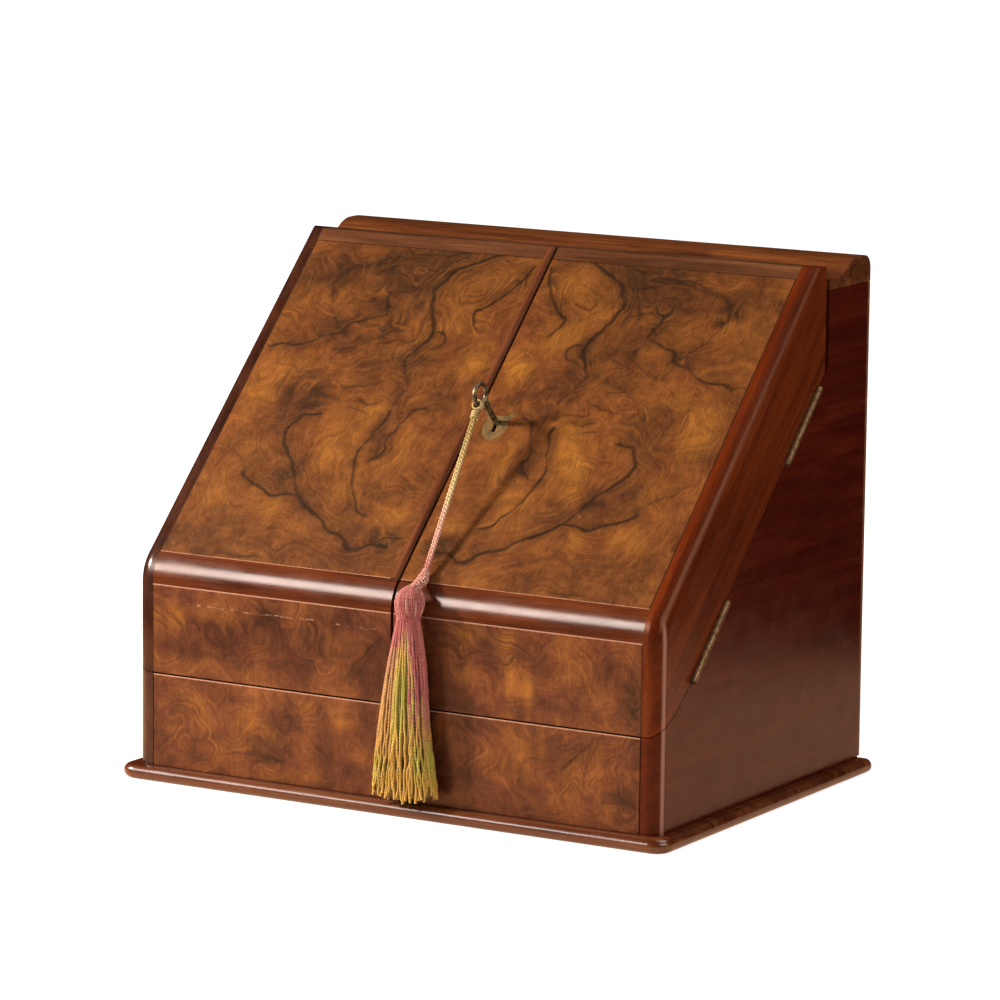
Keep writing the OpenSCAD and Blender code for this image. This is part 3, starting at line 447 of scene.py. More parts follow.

# %% [markdown]
# ## The tassel's skirt
# Some hundred and thirty twisted threads fall from the neck over a soft core. They spread to the foot, lie
# in loose bundles, and end ragged. Their dyes run from rose at the neck through a greenish yellow to gold,
# and the rose reaches furthest down on the right. The inner threads and the core are darkened towards
# umber: painted shade inside the skirt.

# %% Skirt
skirt_top, skirt_foot, skirt_half, skirt_deep, neck_half, neck_deep = 132.5, 10, 24.5, 8.5, 7.4, 6.2
skirt_threads, skirt_steps, core_sides, core_rings = 128, 45, 40, 26
dice = np.random.default_rng(11)


def on_skirt(t, angle, share):
    """A point on the skirt: 0 at the neck to 1 at the foot, angle, and share of the full width"""
    spread = 1 - (1 - t) ** 1.7
    slack = 1 - 0.18 * max(math.cos(angle), 0) * math.sin(math.pi * held((t - 0.1) / 0.9)) ** 2
    wide = (neck_half + (skirt_half - neck_half) * spread) * share * slack
    deep = (neck_deep + (skirt_deep - neck_deep) * spread) * share
    return Vector((neck_x - 1.8 * t + wide * math.cos(angle), neck_y + 0.8 * t + deep * math.sin(angle),
                   skirt_top + (skirt_foot - skirt_top) * t))


def skirt_dye(t, side, luck):
    """The dye at a height and a place across, -1 left to 1 right, with some luck for each thread"""
    pink_to = 0.08 + 0.05 * luck + (0.1 if side < -0.3 else 0) + (0.38 if side > 0.4 else 0)
    green_from, green_to = 0.2 + 0.06 * luck, 0.66 + 0.1 * luck
    if side > 0.45:
        green_from, green_to = 0.62, 0.92
    if side < -0.35:
        green_from, green_to = 0.7, 0.93
    green = held((t - green_from) / 0.12) * held((green_to - t) / 0.15)
    ground = blend_dyes(tan if abs(side) > 0.35 else straw, gold, t * 1.4 - 0.3)
    ground = blend_dyes(ground, lime if luck > 0 else olive, green * (0.85 if luck > -0.6 else 0.4))
    ground = blend_dyes(ground, straw, (t - 0.9) / 0.08 * (0.5 + 0.5 * luck))
    return blend_dyes(rose if luck > 0 else tan, ground, (t - pink_to) / 0.13) if t > pink_to else \
        blend_dyes(rose, deep_rose, 0.5 - 0.5 * luck)


skirt_lines = []
for j in range(skirt_threads):
    angle = 2 * math.pi * (j + 0.35 * dice.uniform(-1, 1)) / skirt_threads
    bundle = 0.15 * math.sin(angle * 9 + 0.7) + 0.06 * math.sin(angle * 19)
    share = (0.975 if j % 2 else 0.87) - 0.03 * dice.random()
    luck, phase, curl = dice.uniform(-1, 1), dice.uniform(0, 6.28), dice.uniform(0.15, 0.6)
    clump = 0.5 + 0.5 * math.sin(angle * 7 + 2) * math.sin(angle * 3)
    foot = 1 - 0.035 * dice.random() - 0.03 * clump - 0.035 * math.cos(angle) ** 2 \
        - (0.05 if j % 7 == 0 else 0)
    stray = dice.uniform(-0.6, 1.6) if j % 3 else dice.uniform(0, 2.6)
    line = []
    for i in range(skirt_steps + 1):
        t = foot * i / skirt_steps
        lean = bundle * math.sin(math.pi * min(t * 1.15, 1)) + 0.03 * math.sin(phase + 9 * t)
        p = on_skirt(t, angle + lean, share)
        p += Vector((math.sin(phase + t * 50), math.cos(phase + t * 40), 0)) * curl * t
        flick = max(0, (t - foot + 0.08) / 0.08) ** 2
        p += Vector((math.cos(angle) - 0.3, 0.35 * math.sin(angle), 0.25)) * stray * flick * 0.55
        dye = skirt_dye(t, math.cos(angle), luck)
        # Every other thread lies in the inner layer and is darkened towards umber: painted shade
        line.append((here(*p), (0.62 + 0.38 * min(t / 0.4, 1)) * (1.0 + 0.1 * math.sin(t * 150 + phase)),
                     dye if j % 2 else blend_dyes(dye, shade_umber, 0.45)))
    skirt_lines.append(line)
skirt = spin_threads("tassel_skirt_threads", skirt_lines, 0.00082, 7, silk_tassel, "door_right")
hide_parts("tassel_skirt")
# The core darkens from deep rose towards umber further down: painted shade between the threads
core = [[here(*on_skirt(t, 2 * math.pi * j / core_sides, min(0.8, (0.93 - t) * 4)))
         for j in range(core_sides)]
        for t in np.linspace(0.0, 0.9, core_rings)]
padding("tassel_skirt_core", core, lambda p: blend_dyes(deep_rose, shade_umber, (skirt_top - p.z * 1000) / 20))

# %% [markdown]
# ## The figure of the veneer
# Each door wears a sheet of burr walnut, cut one after the other from the same block and opened like a
# book, so the left sheet mirrors the right. Its dark lines are drawn one by one, as a maker would choose a
# sheet for its figure: each has a strength, a width, the width of its smoky border, and its points in
# millimetres across and up the slope. A border with a minus lies on the line's other side. Soft blots and
# golden patches lie between them, each with its middle, half width, half height and strength.

# %% Lines of the sheet
sheet_lines = [
    (1.0, 1.3, 6, [(4, 268), (20, 269), (32, 268), (40, 263), (48, 258), (57, 254), (62, 250), (65, 245),
        (69, 236), (70, 232), (68, 227), (66, 220), (61, 210), (58, 204), (57, 198), (57, 192), (60, 187),
        (63, 180)]),
    (0.85, 1.2, 5, [(4, 262), (7, 252), (10, 243), (14, 236), (18, 231), (22, 226), (28, 221), (31, 220),
        (31, 215), (28, 209), (25, 204), (22, 201)]),
    (0.7, 1.1, 3, [(57, 200), (50, 199), (45, 196), (43, 191), (46, 186), (52, 184), (57, 186)]),
    (0.55, 1.0, 3, [(63, 251), (75, 250), (86, 252), (97, 252), (106, 250), (113, 246), (117, 240)]),
    (0.5, 2.2, 8, [(80, 262), (100, 258), (113, 254), (122, 252), (130, 249), (140, 246), (146, 240),
        (149, 233), (151, 227)]),
    (0.3, 1.0, 3, [(70, 232), (78, 235), (85, 238), (92, 240)]),
    (0.75, 1.3, 5, [(100, 232), (103, 225), (99, 215), (98, 208), (104, 206), (112, 203), (120, 199),
        (124, 192), (130, 188), (138, 186), (145, 182), (150, 180), (158, 178), (168, 177), (178, 174)]),
    (0.6, 1.5, 5, [(98, 200), (92, 196), (98, 193)]),
    (0.5, 1.1, 4, [(63, 192), (70, 189), (80, 188), (90, 185), (97, 183)]),
    (0.45, 1.1, 4, [(104, 192), (108, 184), (113, 179), (120, 177), (128, 178)]),
    (0.5, 1.0, 4, [(65, 160), (62, 152), (62, 146)]),
    (0.55, 1.1, 4, [(72, 156), (80, 153), (88, 150), (98, 148), (108, 146)]),
    (0.55, 1.1, 3, [(66, 139), (72, 137), (78, 134), (86, 137), (90, 137)]),
    (0.5, 1.0, 3, [(72, 126), (78, 128), (86, 129), (94, 130)]),
    (0.95, 1.5, 6, [(108, 123), (116, 122), (122, 120), (126, 114), (129, 108), (129, 102), (127, 97),
        (122, 91), (117, 86), (112, 80), (109, 74), (107, 68)]),
    (0.7, 1.3, 5, [(28, 133), (33, 135), (40, 133), (44, 130), (47, 124), (49, 117), (51, 110), (51, 103),
        (49, 98), (53, 92), (58, 89), (62, 88)]),
    (0.8, 1.1, 4, [(60, 133), (60, 124), (62, 113), (65, 104), (69, 97), (68, 90), (65, 80), (63, 70),
        (58, 62), (54, 55), (50, 50), (44, 46), (38, 44)]),
    (0.95, 1.3, 5, [(12, 22), (20, 24), (27, 25), (32, 21), (36, 18), (40, 18), (44, 22), (48, 26),
        (55, 29), (61, 31), (67, 35), (72, 39), (80, 43), (86, 46), (92, 51), (98, 56), (115, 54),
        (122, 55), (130, 60), (140, 66), (150, 72)]),
    (0.35, 1.0, 4, [(60, 26), (72, 22), (82, 20), (88, 16), (94, 10)]),
    (0.6, 1.0, 3, [(100, 4), (108, 4.5), (118, 3), (130, 4), (140, 3)]),
    (0.4, 1.0, 4, [(40, 160), (52, 161), (60, 162)]),
    (0.45, 1.1, 4, [(56, 178), (46, 174), (38, 176)]),
    (0.4, 1.2, 5, [(140, 150), (133, 152), (128, 156), (126, 160)]),
    (0.4, 1.0, 4, [(130, 170), (136, 163), (140, 160)]),
    (0.3, 1.0, 4, [(148, 218), (143, 210), (138, 202), (132, 199)]),
    (0.45, 1.1, 4, [(26, 170), (24, 160), (22, 150), (25, 142)]),
    (0.4, 1.0, 4, [(8, 190), (16, 186), (24, 188), (27, 180)]),
    (0.4, 1.0, 5, [(67, 175), (83, 171), (96, 166), (110, 158), (118, 149), (127, 140)]),
    (0.45, 1.2, 6, [(132, 158), (141, 144), (138, 126), (136, 113)]),
    (0.5, 1.0, 5, [(144, 70), (156, 82), (167, 89), (174, 97)]),
    (0.55, 1.0, -4, [(50, 269), (62, 265), (75, 263), (90, 262), (104, 260), (118, 256), (130, 251),
        (141, 244), (148, 236), (149, 228), (145, 219), (142, 211), (136, 203), (128, 195), (118, 188)]),
    (0.6, 1.0, 4, [(110, 77), (105, 66), (98, 57), (90, 50), (84, 45)]),
    (0.6, 1.0, 4, [(58, 184), (66, 175), (62, 165), (57, 156), (56, 146), (59, 134)]),
    (0.5, 1.0, -4, [(71, 219), (80, 226), (92, 229), (101, 225), (106, 218), (101, 209)]),
    (0.5, 1.0, 4, [(75, 199), (84, 196), (93, 191), (104, 184), (112, 178), (121, 174)]),
    (0.4, 1.0, -4, [(146, 178), (151, 168), (149, 156), (152, 142), (147, 128), (136, 118)]),
    (0.7, 1.0, 5, [(27, 24), (20, 29), (12, 31), (3, 32)]),
    (0.35, 1.0, 4, [(100, 138), (110, 132), (121, 128), (128, 120)]),
    (0.5, 1.1, 5, [(72, 231), (83, 234), (94, 233), (103, 226)]),
    (0.35, 1.0, 4, [(127, 233), (118, 224), (105, 220), (99, 214)]),
    (0.45, 1.0, 3, [(48, 162), (47, 149), (51, 138), (50, 122), (52, 104), (57, 89)]),
    (0.4, 1.0, 4, [(32, 184), (27, 175), (27, 162), (33, 154), (42, 161), (54, 162)]),
    (0.35, 1.0, 4, [(120, 244), (113, 250), (96, 256), (80, 256), (68, 252)]),
    (0.35, 1.0, 4, [(14, 60), (26, 66), (36, 60), (44, 64), (54, 72)]),
    (0.3, 1.0, 5, [(150, 40), (140, 34), (126, 36), (112, 28), (100, 30)]),
]
sheet_blots = [
    (20, 30, 14, 8, 0.75), (110, 75, 9, 12, 0.6), (105, 230, 12, 16, 0.4), (85, 262, 30, 7, 0.5),
    (122, 135, 16, 22, 0.4), (148, 234, 7, 9, 0.65), (82, 172, 30, 12, 0.35), (58, 175, 8, 16, 0.45),
    (18, 72, 16, 10, 0.3), (8, 246, 8, 12, 0.35), (88, 66, 12, 14, 0.25), (48, 96, 8, 10, 0.35),
    (20, 140, 12, 10, 0.35), (90, 205, 14, 10, 0.3), (128, 196, 10, 8, 0.35), (60, 10, 60, 7, 0.25),
    # The last four blots, wide and faint, darken the top and the outer corners of the sheet: painted shade
    (100, 245, 80, 34, 0.4), (172, 225, 24, 45, 0.22), (175, 20, 34, 30, 0.22), (140, 15, 60, 20, 0.15)]
sheet_lights = [
    (72, 130, 10, 7, 0.9), (80, 108, 10, 14, 0.9), (92, 92, 7, 18, 0.9), (15, 175, 9, 12, 1.0),
    (35, 205, 12, 9, 0.8), (20, 47, 12, 8, 0.6), (112, 45, 6, 9, 0.8), (165, 140, 12, 22, 0.7),
    (150, 85, 14, 14, 0.3), (50, 235, 26, 24, 0.35), (36, 100, 5, 22, 0.7), (152, 48, 16, 10, 0.4),
    (138, 160, 12, 8, 0.5), (20, 250, 16, 12, 0.3), (60, 62, 20, 20, 0.3), (170, 215, 10, 30, 0.2)]
print("lines in the sheet:", len(sheet_lines))


# %% Drift and smooth lines
def drift(u, v, size, seed):
    """A smooth random value from -1 to 1 over a plane, with swells about size millimetres wide"""
    cells = 64
    lattice = np.random.default_rng(seed).uniform(-1, 1, (cells, cells))
    a, b = np.asarray(u) / size + 20, np.asarray(v) / size + 20
    i, j = np.floor(a).astype(int), np.floor(b).astype(int)
    f, g = a - i, b - j
    f, g = f * f * (3 - 2 * f), g * g * (3 - 2 * g)
    low, high = (lattice[i % cells, k % cells] * (1 - f) + lattice[(i + 1) % cells, k % cells] * f
                 for k in (j, j + 1))
    return low * (1 - g) + high * g


line_step = 0.6


def smooth_line(points):
    """The points joined by a smooth curve, at even steps"""
    p = np.array([points[0]] + points + [points[-1]], float)
    out = []
    for a, b, c, d in zip(p, p[1:], p[2:], p[3:]):
        for t in np.linspace(0, 1, max(2, int(np.hypot(*(c - b)) / line_step)), endpoint=False):
            out.append(0.5 * (2 * b + (c - a) * t + (2 * a - 5 * b + 4 * c - d) * t * t
                              + (3 * b - a - 3 * c + d) * t ** 3))
    return np.array(out + [p[-1]])


first_points = sheet_lines[0][3]
print("first line:", len(first_points), "points drawn,", len(smooth_line(first_points)), "when smooth")


# %% Figure
def draw_figure(u, v, lines, blots, lights, seed):
    """What the figure holds at points u, v in millimetres: vein, smoke, amber and flow"""
    u, v = (w + 1.5 * drift(u, v, 9, seed + k) + 0.6 * drift(u, v, 3.5, seed + k + 1)
            for w, k in ((u, 0), (v, 2)))
    vein, smoke, amber = np.zeros(len(u)), np.zeros(len(u)), np.zeros(len(u))
    far, fade_out, at_once = 40.0, 4, 6000
    near = np.full(len(u), far)
    for strength, core, halo, points in lines:
        path = smooth_line(points)
        reach = far if strength > 0.6 else 6 * abs(halo)
        low, high = path.min(0) - reach, path.max(0) + reach
        pick = np.nonzero((u > low[0]) & (u < high[0]) & (v > low[1]) & (v < high[1]))[0]
        for part in np.array_split(pick, max(1, len(pick) // at_once)):
            if not len(part):
                continue
            gap = (u[part, None] - path[:, 0]) ** 2 + (v[part, None] - path[:, 1]) ** 2
            k = gap.argmin(1)
            d = np.sqrt(gap[np.arange(len(part)), k])
            ends = np.clip(np.minimum(k, len(path) - 1 - k) * line_step / fade_out, 0, 1)
            way = np.gradient(path, axis=0)[k]
            over = way[:, 0] * (v[part] - path[k, 1]) - way[:, 1] * (u[part] - path[k, 0]) > 0
            soft = np.where(over == (halo > 0), 2.1, 0.7) * abs(halo)
            vary = 0.85 + 0.15 * np.sin(k * 0.09 + strength * 9)
            vein[part] = np.maximum(vein[part], strength * ends * vary * np.exp(-(d / (1.05 * core)) ** 2))
            smoke[part] += 0.62 * strength * ends * vary * np.exp(-d / soft)
            near[part] = np.minimum(near[part], d + 30 * (1 - strength))
    for store, spots in ((smoke, blots), (amber, lights)):
        for x, y, wide, tall, amount in spots:
            store += amount * np.exp(-((u - x) / wide) ** 2 - ((v - y) / tall) ** 2)
    flow = 0.6 * near + 15 * drift(u, v, 46, seed + 4) + 6 * drift(u, v, 17, seed + 5)
    return {"vein": vein, "smoke": np.clip(smoke, 0, 1), "amber": np.clip(amber, 0, 1), "flow": flow}


# %% [markdown]
# ## Burr walnut veneer
# Burr is the twisted wood of a root or a crotch, sliced thin. Its ground runs from orange brown to dark
# brown, with streams of fine grain that bend round each knot. French polish, many thin coats of shellac,
# gives depth and a soft gloss. The finish mixes four things that the sheet carries at each point: vein,
# smoke, amber, and the flow that its streams follow. Streams lie some 3 mm apart, and pores are 0.6 mm.

# %% Veneer finish
# The pale tone of the painted highlight along a sheet's edge, and of the pale wood in the front's crack
highlight_and_crack_tone = light("#b98a72")


def burr_veneer(name, tones, smoke_tone, amber_tone, vein_tone, curl, tilt):
    """curl twists the grain between the lines; tilt lays the fleck up the slope or up the front"""
    finish, put, shader, mm = new_finish(name)
    vein, smoke, amber, flow, edge = (put("Attribute", out="Fac", attribute_name=key)
                                      for key in ("vein", "smoke", "amber", "flow", "edge"))
    cloud = put("TexNoise", {"Vector": mm, "Scale": 0.035, "Detail": 4.0})
    mottle = put("TexNoise", {"Vector": mm, "Scale": 0.15, "Detail": 6.0, "Roughness": 0.62,
                              "Distortion": curl})
    slow = put("VectorMath", {0: mm, "Scale": 0.05}, operation="SCALE")
    ride = put("CombineXYZ", (flow,))
    stream_at = put("VectorMath", (ride, (0.5, 0.5, 0.5), slow), operation="MULTIPLY_ADD")
    stream = put("TexNoise", {"Vector": stream_at, "Scale": 1.0, "Detail": 6.0, "Roughness": 0.68})
    pores = put("TexNoise", {"Vector": mm, "Scale": 1.6, "Detail": 3.0})
    whole = 0.03
    for pattern, amount in ((cloud, 0.45), (mottle, 0.18), (stream, 0.31)):
        whole = put("Math", (pattern, amount, whole), operation="MULTIPLY_ADD")
    ground = put("ValToRGB", (whole,), list(zip((0.38, 0.47, 0.55, 0.65), tones)))
    # Amber glows where a stream runs, and smoke hides in its hollows; rings follow the flow through smoke
    glow = put("MapRange", (stream, 0.3, 0.62, 0.1, 0.85))
    amber_here = put("Math", (amber, glow), operation="MULTIPLY")
    haze = put("MapRange", (stream, 0.35, 0.62, 1.05, 0.5))
    smoke_here = put("Math", (smoke, haze), operation="MULTIPLY", use_clamp=True)
    bent = put("Math", (mottle, 9.0, 0.0), operation="MULTIPLY_ADD")
    phase = put("Math", (flow, 2.3, bent), operation="MULTIPLY_ADD")
    wave = put("Math", (phase,), operation="SINE")
    ring = put("MapRange", (wave, 0.3, 1.0, 0.0, 1.0))
    ringed = put("MapRange", (smoke, 0.25, 0.8, 0.0, 0.3))
    ring_here = put("Math", (ring, ringed), operation="MULTIPLY")
    ragged = put("Math", (mottle, 0.5, vein), operation="MULTIPLY_ADD")
    line = put("MapRange", (ragged, 0.34, 0.95, 0.0, 0.8), interpolation_type="SMOOTHSTEP")
    figured = ground
    for amount, tone in ((amber_here, amber_tone), (smoke_here, smoke_tone), (ring_here, smoke_tone),
                         (line, vein_tone)):
        figured = put("Mix", {0: amount, 6: figured, 7: light(tone)}, out=2, data_type="RGBA")
    speck = put("MapRange", (pores, 0.36, 0.6, 0.78, 1.06))
    laid = put("Mapping", {"Vector": mm, "Rotation": (-tilt, 0, 0)})
    drawn = put("VectorMath", (laid, (1.5, 0.16, 1.5)), operation="MULTIPLY")
    fleck = put("TexNoise", {"Vector": drawn, "Scale": 1.0, "Detail": 2.0})
    silky = put("MapRange", (fleck, 0.3, 0.7, 0.8, 1.14))
    both = put("Math", (speck, silky), operation="MULTIPLY")
    grained = put("VectorMath", {0: figured, "Scale": both}, operation="SCALE")
    # A pale line of painted highlight where the sheet's edge is near, and the pale wood of the crack on the
    # front
    highlight_and_crack_gap = put("Math", (pores, -1.6, edge), operation="MULTIPLY_ADD")
    arris = put("MapRange", (highlight_and_crack_gap, -0.25, 0.1, 0.75, 0.0))
    worn = put("Mix", {0: arris, 6: grained, 7: highlight_and_crack_tone}, out=2, data_type="RGBA")
    polish = put("MapRange", (mottle, 0.3, 0.7, 0.32, 0.46))
    bump = put("Bump", {"Height": pores, "Strength": 0.12, "Distance": 0.0003})
    feed(shader, {"Base Color": worn, "Roughness": polish, "Normal": bump, "IOR": 1.5,
                  "Specular IOR Level": 0.35, "Specular Tint": light("#f0c8a8"), "Coat Weight": 0.08,
                  "Coat Roughness": 0.12, "Coat IOR": 1.5})
    return finish


slope_veneer = burr_veneer("burr_walnut_crotch_polished", ("#4a2613", "#633718", "#76441c", "#8b5524"),
                           "#2e1c0f", "#9e6723", "#20130a", 0.5, slope_angle)
front_veneer = burr_veneer("burr_walnut_curly_polished", ("#3b1c11", "#542a18", "#6c3b1c", "#885026"),
                           "#24130b", "#a06222", "#170b06", 1.2, math.pi / 2)
print("veneers:", slope_veneer.name, front_veneer.name)

# %% [markdown]
# ## Laying the sheets
# A veneer is a separate thin sheet, so it is one here: a fine net of points on the panel, which can carry
# the figure, closed by a rim and a back. Round the escutcheon the net is fitted to the cut with a
# triangulation that keeps its outline.


# %% Net of points
def inside(point, outline):
    x, y = point
    hit = False
    for (ax, ay), (bx, by) in zip(outline, outline[1:] + outline[:1]):
        if (ay > y) != (by > y) and x < (bx - ax) * (y - ay) / (by - ay) + ax:
            hit = not hit
    return hit


def net_of(span, step, hole):
    """Points and faces of a net between two corners. Round a hole's outline it is cut out a few steps wide,
    and a triangulation that keeps the outline fills the gap"""
    us, vs = (np.linspace(a, b, round((b - a) / step) + 1) for a, b in zip(*span))
    points = [(u, v) for u in us for v in vs]
    n = len(vs)
    squares = [(i, j) for i in range(len(us) - 1) for j in range(n - 1)]
    if not hole:
        return points, [(i * n + j, (i + 1) * n + j, (i + 1) * n + j + 1, i * n + j + 1) for i, j in squares]
    (left, right), (low, high) = ((np.searchsorted(grid, min(c)) - 3, np.searchsorted(grid, max(c)) + 2)
                                  for grid, c in zip((us, vs), zip(*hole)))
    faces = [(i * n + j, (i + 1) * n + j, (i + 1) * n + j + 1, i * n + j + 1) for i, j in squares
             if not (left <= i < right and low <= j < high)]
    net = [Vector((us[i], vs[j])) for i in range(left, right + 1) for j in range(low, high + 1)]
    net = [p for p in net if not inside(p, hole) and min((p - Vector(q)).length for q in hole) > 0.45 * step]
    links = [(len(net) + k, len(net) + (k + 1) % len(hole)) for k in range(len(hole))]
    fitted, _, parts, _, _, _ = geometry.delaunay_2d_cdt(net + [Vector(q) for q in hole], links, [], 0, 1e-6)
    for part in parts:
        middle = sum((fitted[k] for k in part), Vector((0, 0))) / len(part)
        if not inside(middle, hole):
            faces.append(tuple(len(points) + k for k in part))
    return points + [tuple(p) for p in fitted], faces


print("a net of 3 by 2 steps:", len(net_of(((0, 0), (3, 2)), 1, None)[0]), "points")


# %% Veneer sheets
proud, sunk, margin = 0.12, -0.04, 0.05


def lay_veneer(name, body, spot, find, span, step, figure, finish, hole=None):
    """spot turns across, up and out into a place; find turns places back; span is low and high corner"""
    points, faces = net_of(span, step, hole)
    sheet = bmesh.new()
    placed = [sheet.verts.new(spot(u, v, proud)) for u, v in points]
    for face in faces:
        sheet.faces.new([placed[k] for k in face])
    bmesh.ops.delete(sheet, geom=[p for p in sheet.verts if not p.link_faces], context="VERTS")
    bmesh.ops.remove_doubles(sheet, verts=sheet.verts, dist=1e-6)
    bmesh.ops.recalc_face_normals(sheet, faces=sheet.faces)
    out = spot(0, 0, 1) - spot(0, 0, 0)
    if sum(f.normal.dot(out) for f in sheet.faces) < 0:
        bmesh.ops.reverse_faces(sheet, faces=sheet.faces)
    grown = bmesh.ops.extrude_edge_only(sheet, edges=[e for e in sheet.edges if e.is_boundary])["geom"]
    low, back_rim = ([g for g in grown if isinstance(g, kind)]
                     for kind in (bmesh.types.BMVert, bmesh.types.BMEdge))
    bmesh.ops.translate(sheet, verts=low, vec=out * (sunk - proud))
    bmesh.ops.triangle_fill(sheet, edges=back_rim, use_beauty=False)
    bmesh.ops.recalc_face_normals(sheet, faces=sheet.faces)
    mesh = bpy.data.meshes.new(name)
    sheet.to_mesh(mesh)
    sheet.free()
    co = np.zeros(len(mesh.vertices) * 3)
    mesh.vertices.foreach_get("co", co)
    for key, values in figure(*find(co.reshape(-1, 3) * 1000)).items():
        note(mesh, key, values.astype(np.float32))
    mesh.materials.append(finish)
    piece = show(name, mesh)
    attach(piece, body)
    print(name, len(mesh.polygons), "faces")


print("sheets stand", proud, "mm proud of the wood")


# %% [markdown]
# ## The doors' sheets
# The right sheet is cut round the shield, whose outline follows the escutcheon: a hollowed top, round
# cheeks and a point below. The left sheet is the right one turned over about the doors' meeting line, and
# it is painted smokier and less golden all over: painted shade. Both have a pale line of painted highlight
# at the foot and a dark seam where they meet solid wood.


# %% Sheets on the doors
def slope_find(p):
    return p[:, 0], (p[:, 1] + mid_depth - slope_y) * math.cos(slope_angle) \
        + (p[:, 2] - slope_z) * math.sin(slope_angle)


def seamed(figure, gap):
    """The figure with the dark seam where the sheet meets solid wood, gap millimetres away"""
    figure["vein"] = np.maximum(figure["vein"], np.exp(-(gap / 0.6) ** 2))
    return figure


def slope_figure(u, v):
    drawn = draw_figure(u, v, sheet_lines, sheet_blots, sheet_lights, 5)
    # edge is the distance to the pale line of painted highlight at the sheet's foot
    return drawn | {"edge": v + 0.3}


fold = -2.5


def right_figure(u, v):
    return seamed(slope_figure(u, v), np.minimum(half_inside - margin - u, panel_length - v))


def left_figure(u, v):
    drawn = slope_figure(2 * fold - u, v)
    # The whole left sheet is made smokier and less golden: painted shade
    drawn["smoke"] = np.clip(drawn["smoke"] + 0.13, 0, 1)
    drawn["amber"] = drawn["amber"] * 0.7
    return seamed(drawn, np.minimum(u + half_inside - margin, panel_length - v))


# The shield from its keyhole: two horns, the hollow between them, cheeks drawn in, and a pointed foot
horn, horn_rise, hollow, hollow_deep, hollow_rise = 12, 8.5, 16.5, 14, 22.5
cheek_out, cheek_rise, cheek_radius = 13.4, 1.2, 5.2
cheek_turns = np.linspace(math.radians(62), math.radians(-40), 14)
foot_points, foot_tip = ((8.6, -6), (7, -10.5)), (key_x, key_s - 15.5)
hollow_turn = math.acos(hollow_deep / hollow)
shield = [(key_x - horn, key_s + horn_rise)]
shield += [(key_x + hollow * math.sin(a), key_s + hollow_rise - hollow * math.cos(a))
           for a in np.linspace(-hollow_turn, hollow_turn, 22)]
shield.append((key_x + horn, key_s + horn_rise))
for side in (1, -1):
    flank = [(key_x + side * (cheek_out - cheek_radius * math.cos(a)),
              key_s + cheek_rise + cheek_radius * math.sin(a)) for a in cheek_turns]
    flank += [(key_x + side * x, key_s + s) for x, s in foot_points]
    shield += flank + [foot_tip] if side == 1 else flank[::-1]
slope_net = 1.1
lay_veneer("door_right_veneer", "door_right", on_slope, slope_find,
           ((door_edge_right, margin), (half_inside - margin, panel_length)), slope_net, right_figure,
           slope_veneer, shield)
lay_veneer("door_left_veneer", "door_left", on_slope, slope_find,
           ((margin - half_inside, margin), (door_edge_left - bead_width, panel_length)), slope_net,
           left_figure, slope_veneer)

# %% [markdown]
# ## The front
# Aprons and drawer front are cut from one sheet of finer, curlier burr, and its lines run on from one to
# the other. It is drawn in the same way, in millimetres across and up. Along the veneer's arrises the
# finish shows a pale line of painted highlight where the sheet's edge is near, and a fine crack in the
# left apron shows pale wood.

# %% Lines of the front
front_lines = [
    (0.6, 0.75, 5, [(36, 113), (46, 114), (54, 108), (62, 113), (70, 113), (78, 112), (86, 107),
        (92, 112.5), (98, 107), (108, 107), (112, 113), (116, 118)]),
    (0.4, 0.7, 4, [(50, 106), (58, 104), (68, 107), (78, 108), (84, 109)]),
    (0.5, 1.0, 4, [(168, 104), (176, 100), (180, 94), (178, 86), (184, 82)]),
    (0.45, 1.0, 4, [(164, 90), (170, 84), (178, 78), (182, 74)]),
    (0.35, 1.0, 4, [(130, 119), (137, 110), (143, 100), (147, 91)]),
    (0.6, 1.0, 4, [(124, 42), (132, 50), (140, 58), (150, 65), (160, 70)]),
    (0.5, 1.0, 4, [(146, 30), (143, 40), (146, 50), (152, 60), (156, 70)]),
    (0.5, 1.1, 4, [(166, 38), (170, 30), (178, 28), (180, 20), (172, 18), (166, 24)]),
    (0.4, 1.0, 4, [(168, 60), (174, 52), (182, 46)]),
    (0.4, 1.0, 5, [(100, 14), (110, 18), (122, 16), (134, 20)]),
    (0.5, 1.0, 4, [(-104, 125), (-98, 118), (-92, 116), (-86, 114)]),
    (0.6, 1.0, 4, [(-5, 116), (-14, 108), (-22, 101), (-28, 92), (-27, 84)]),
    (0.4, 1.0, 4, [(-66, 119), (-60, 112), (-54, 102), (-50, 94), (-42, 91)]),
    (0.4, 1.0, 4, [(-140, 100), (-130, 94), (-126, 90), (-118, 94)]),
    (0.35, 1.0, 5, [(-176, 84), (-164, 90), (-152, 86), (-144, 92)]),
    (0.6, 1.0, 4, [(-110, 18), (-102, 22), (-96, 23), (-90, 27), (-84, 24), (-80, 28)]),
    (0.4, 1.0, 4, [(-160, 28), (-154, 20), (-150, 16), (-144, 22)]),
    (0.4, 1.0, 5, [(-170, 44), (-162, 50), (-152, 46), (-148, 38)]),
    (0.4, 1.0, 4, [(-74, 66), (-70, 58), (-76, 50), (-66, 44)]),
    (0.4, 1.0, 4, [(-56, 38), (-48, 32), (-52, 24), (-44, 20)]),
    (0.35, 1.0, 4, [(-20, 62), (-26, 52), (-34, 50), (-30, 40)]),
]
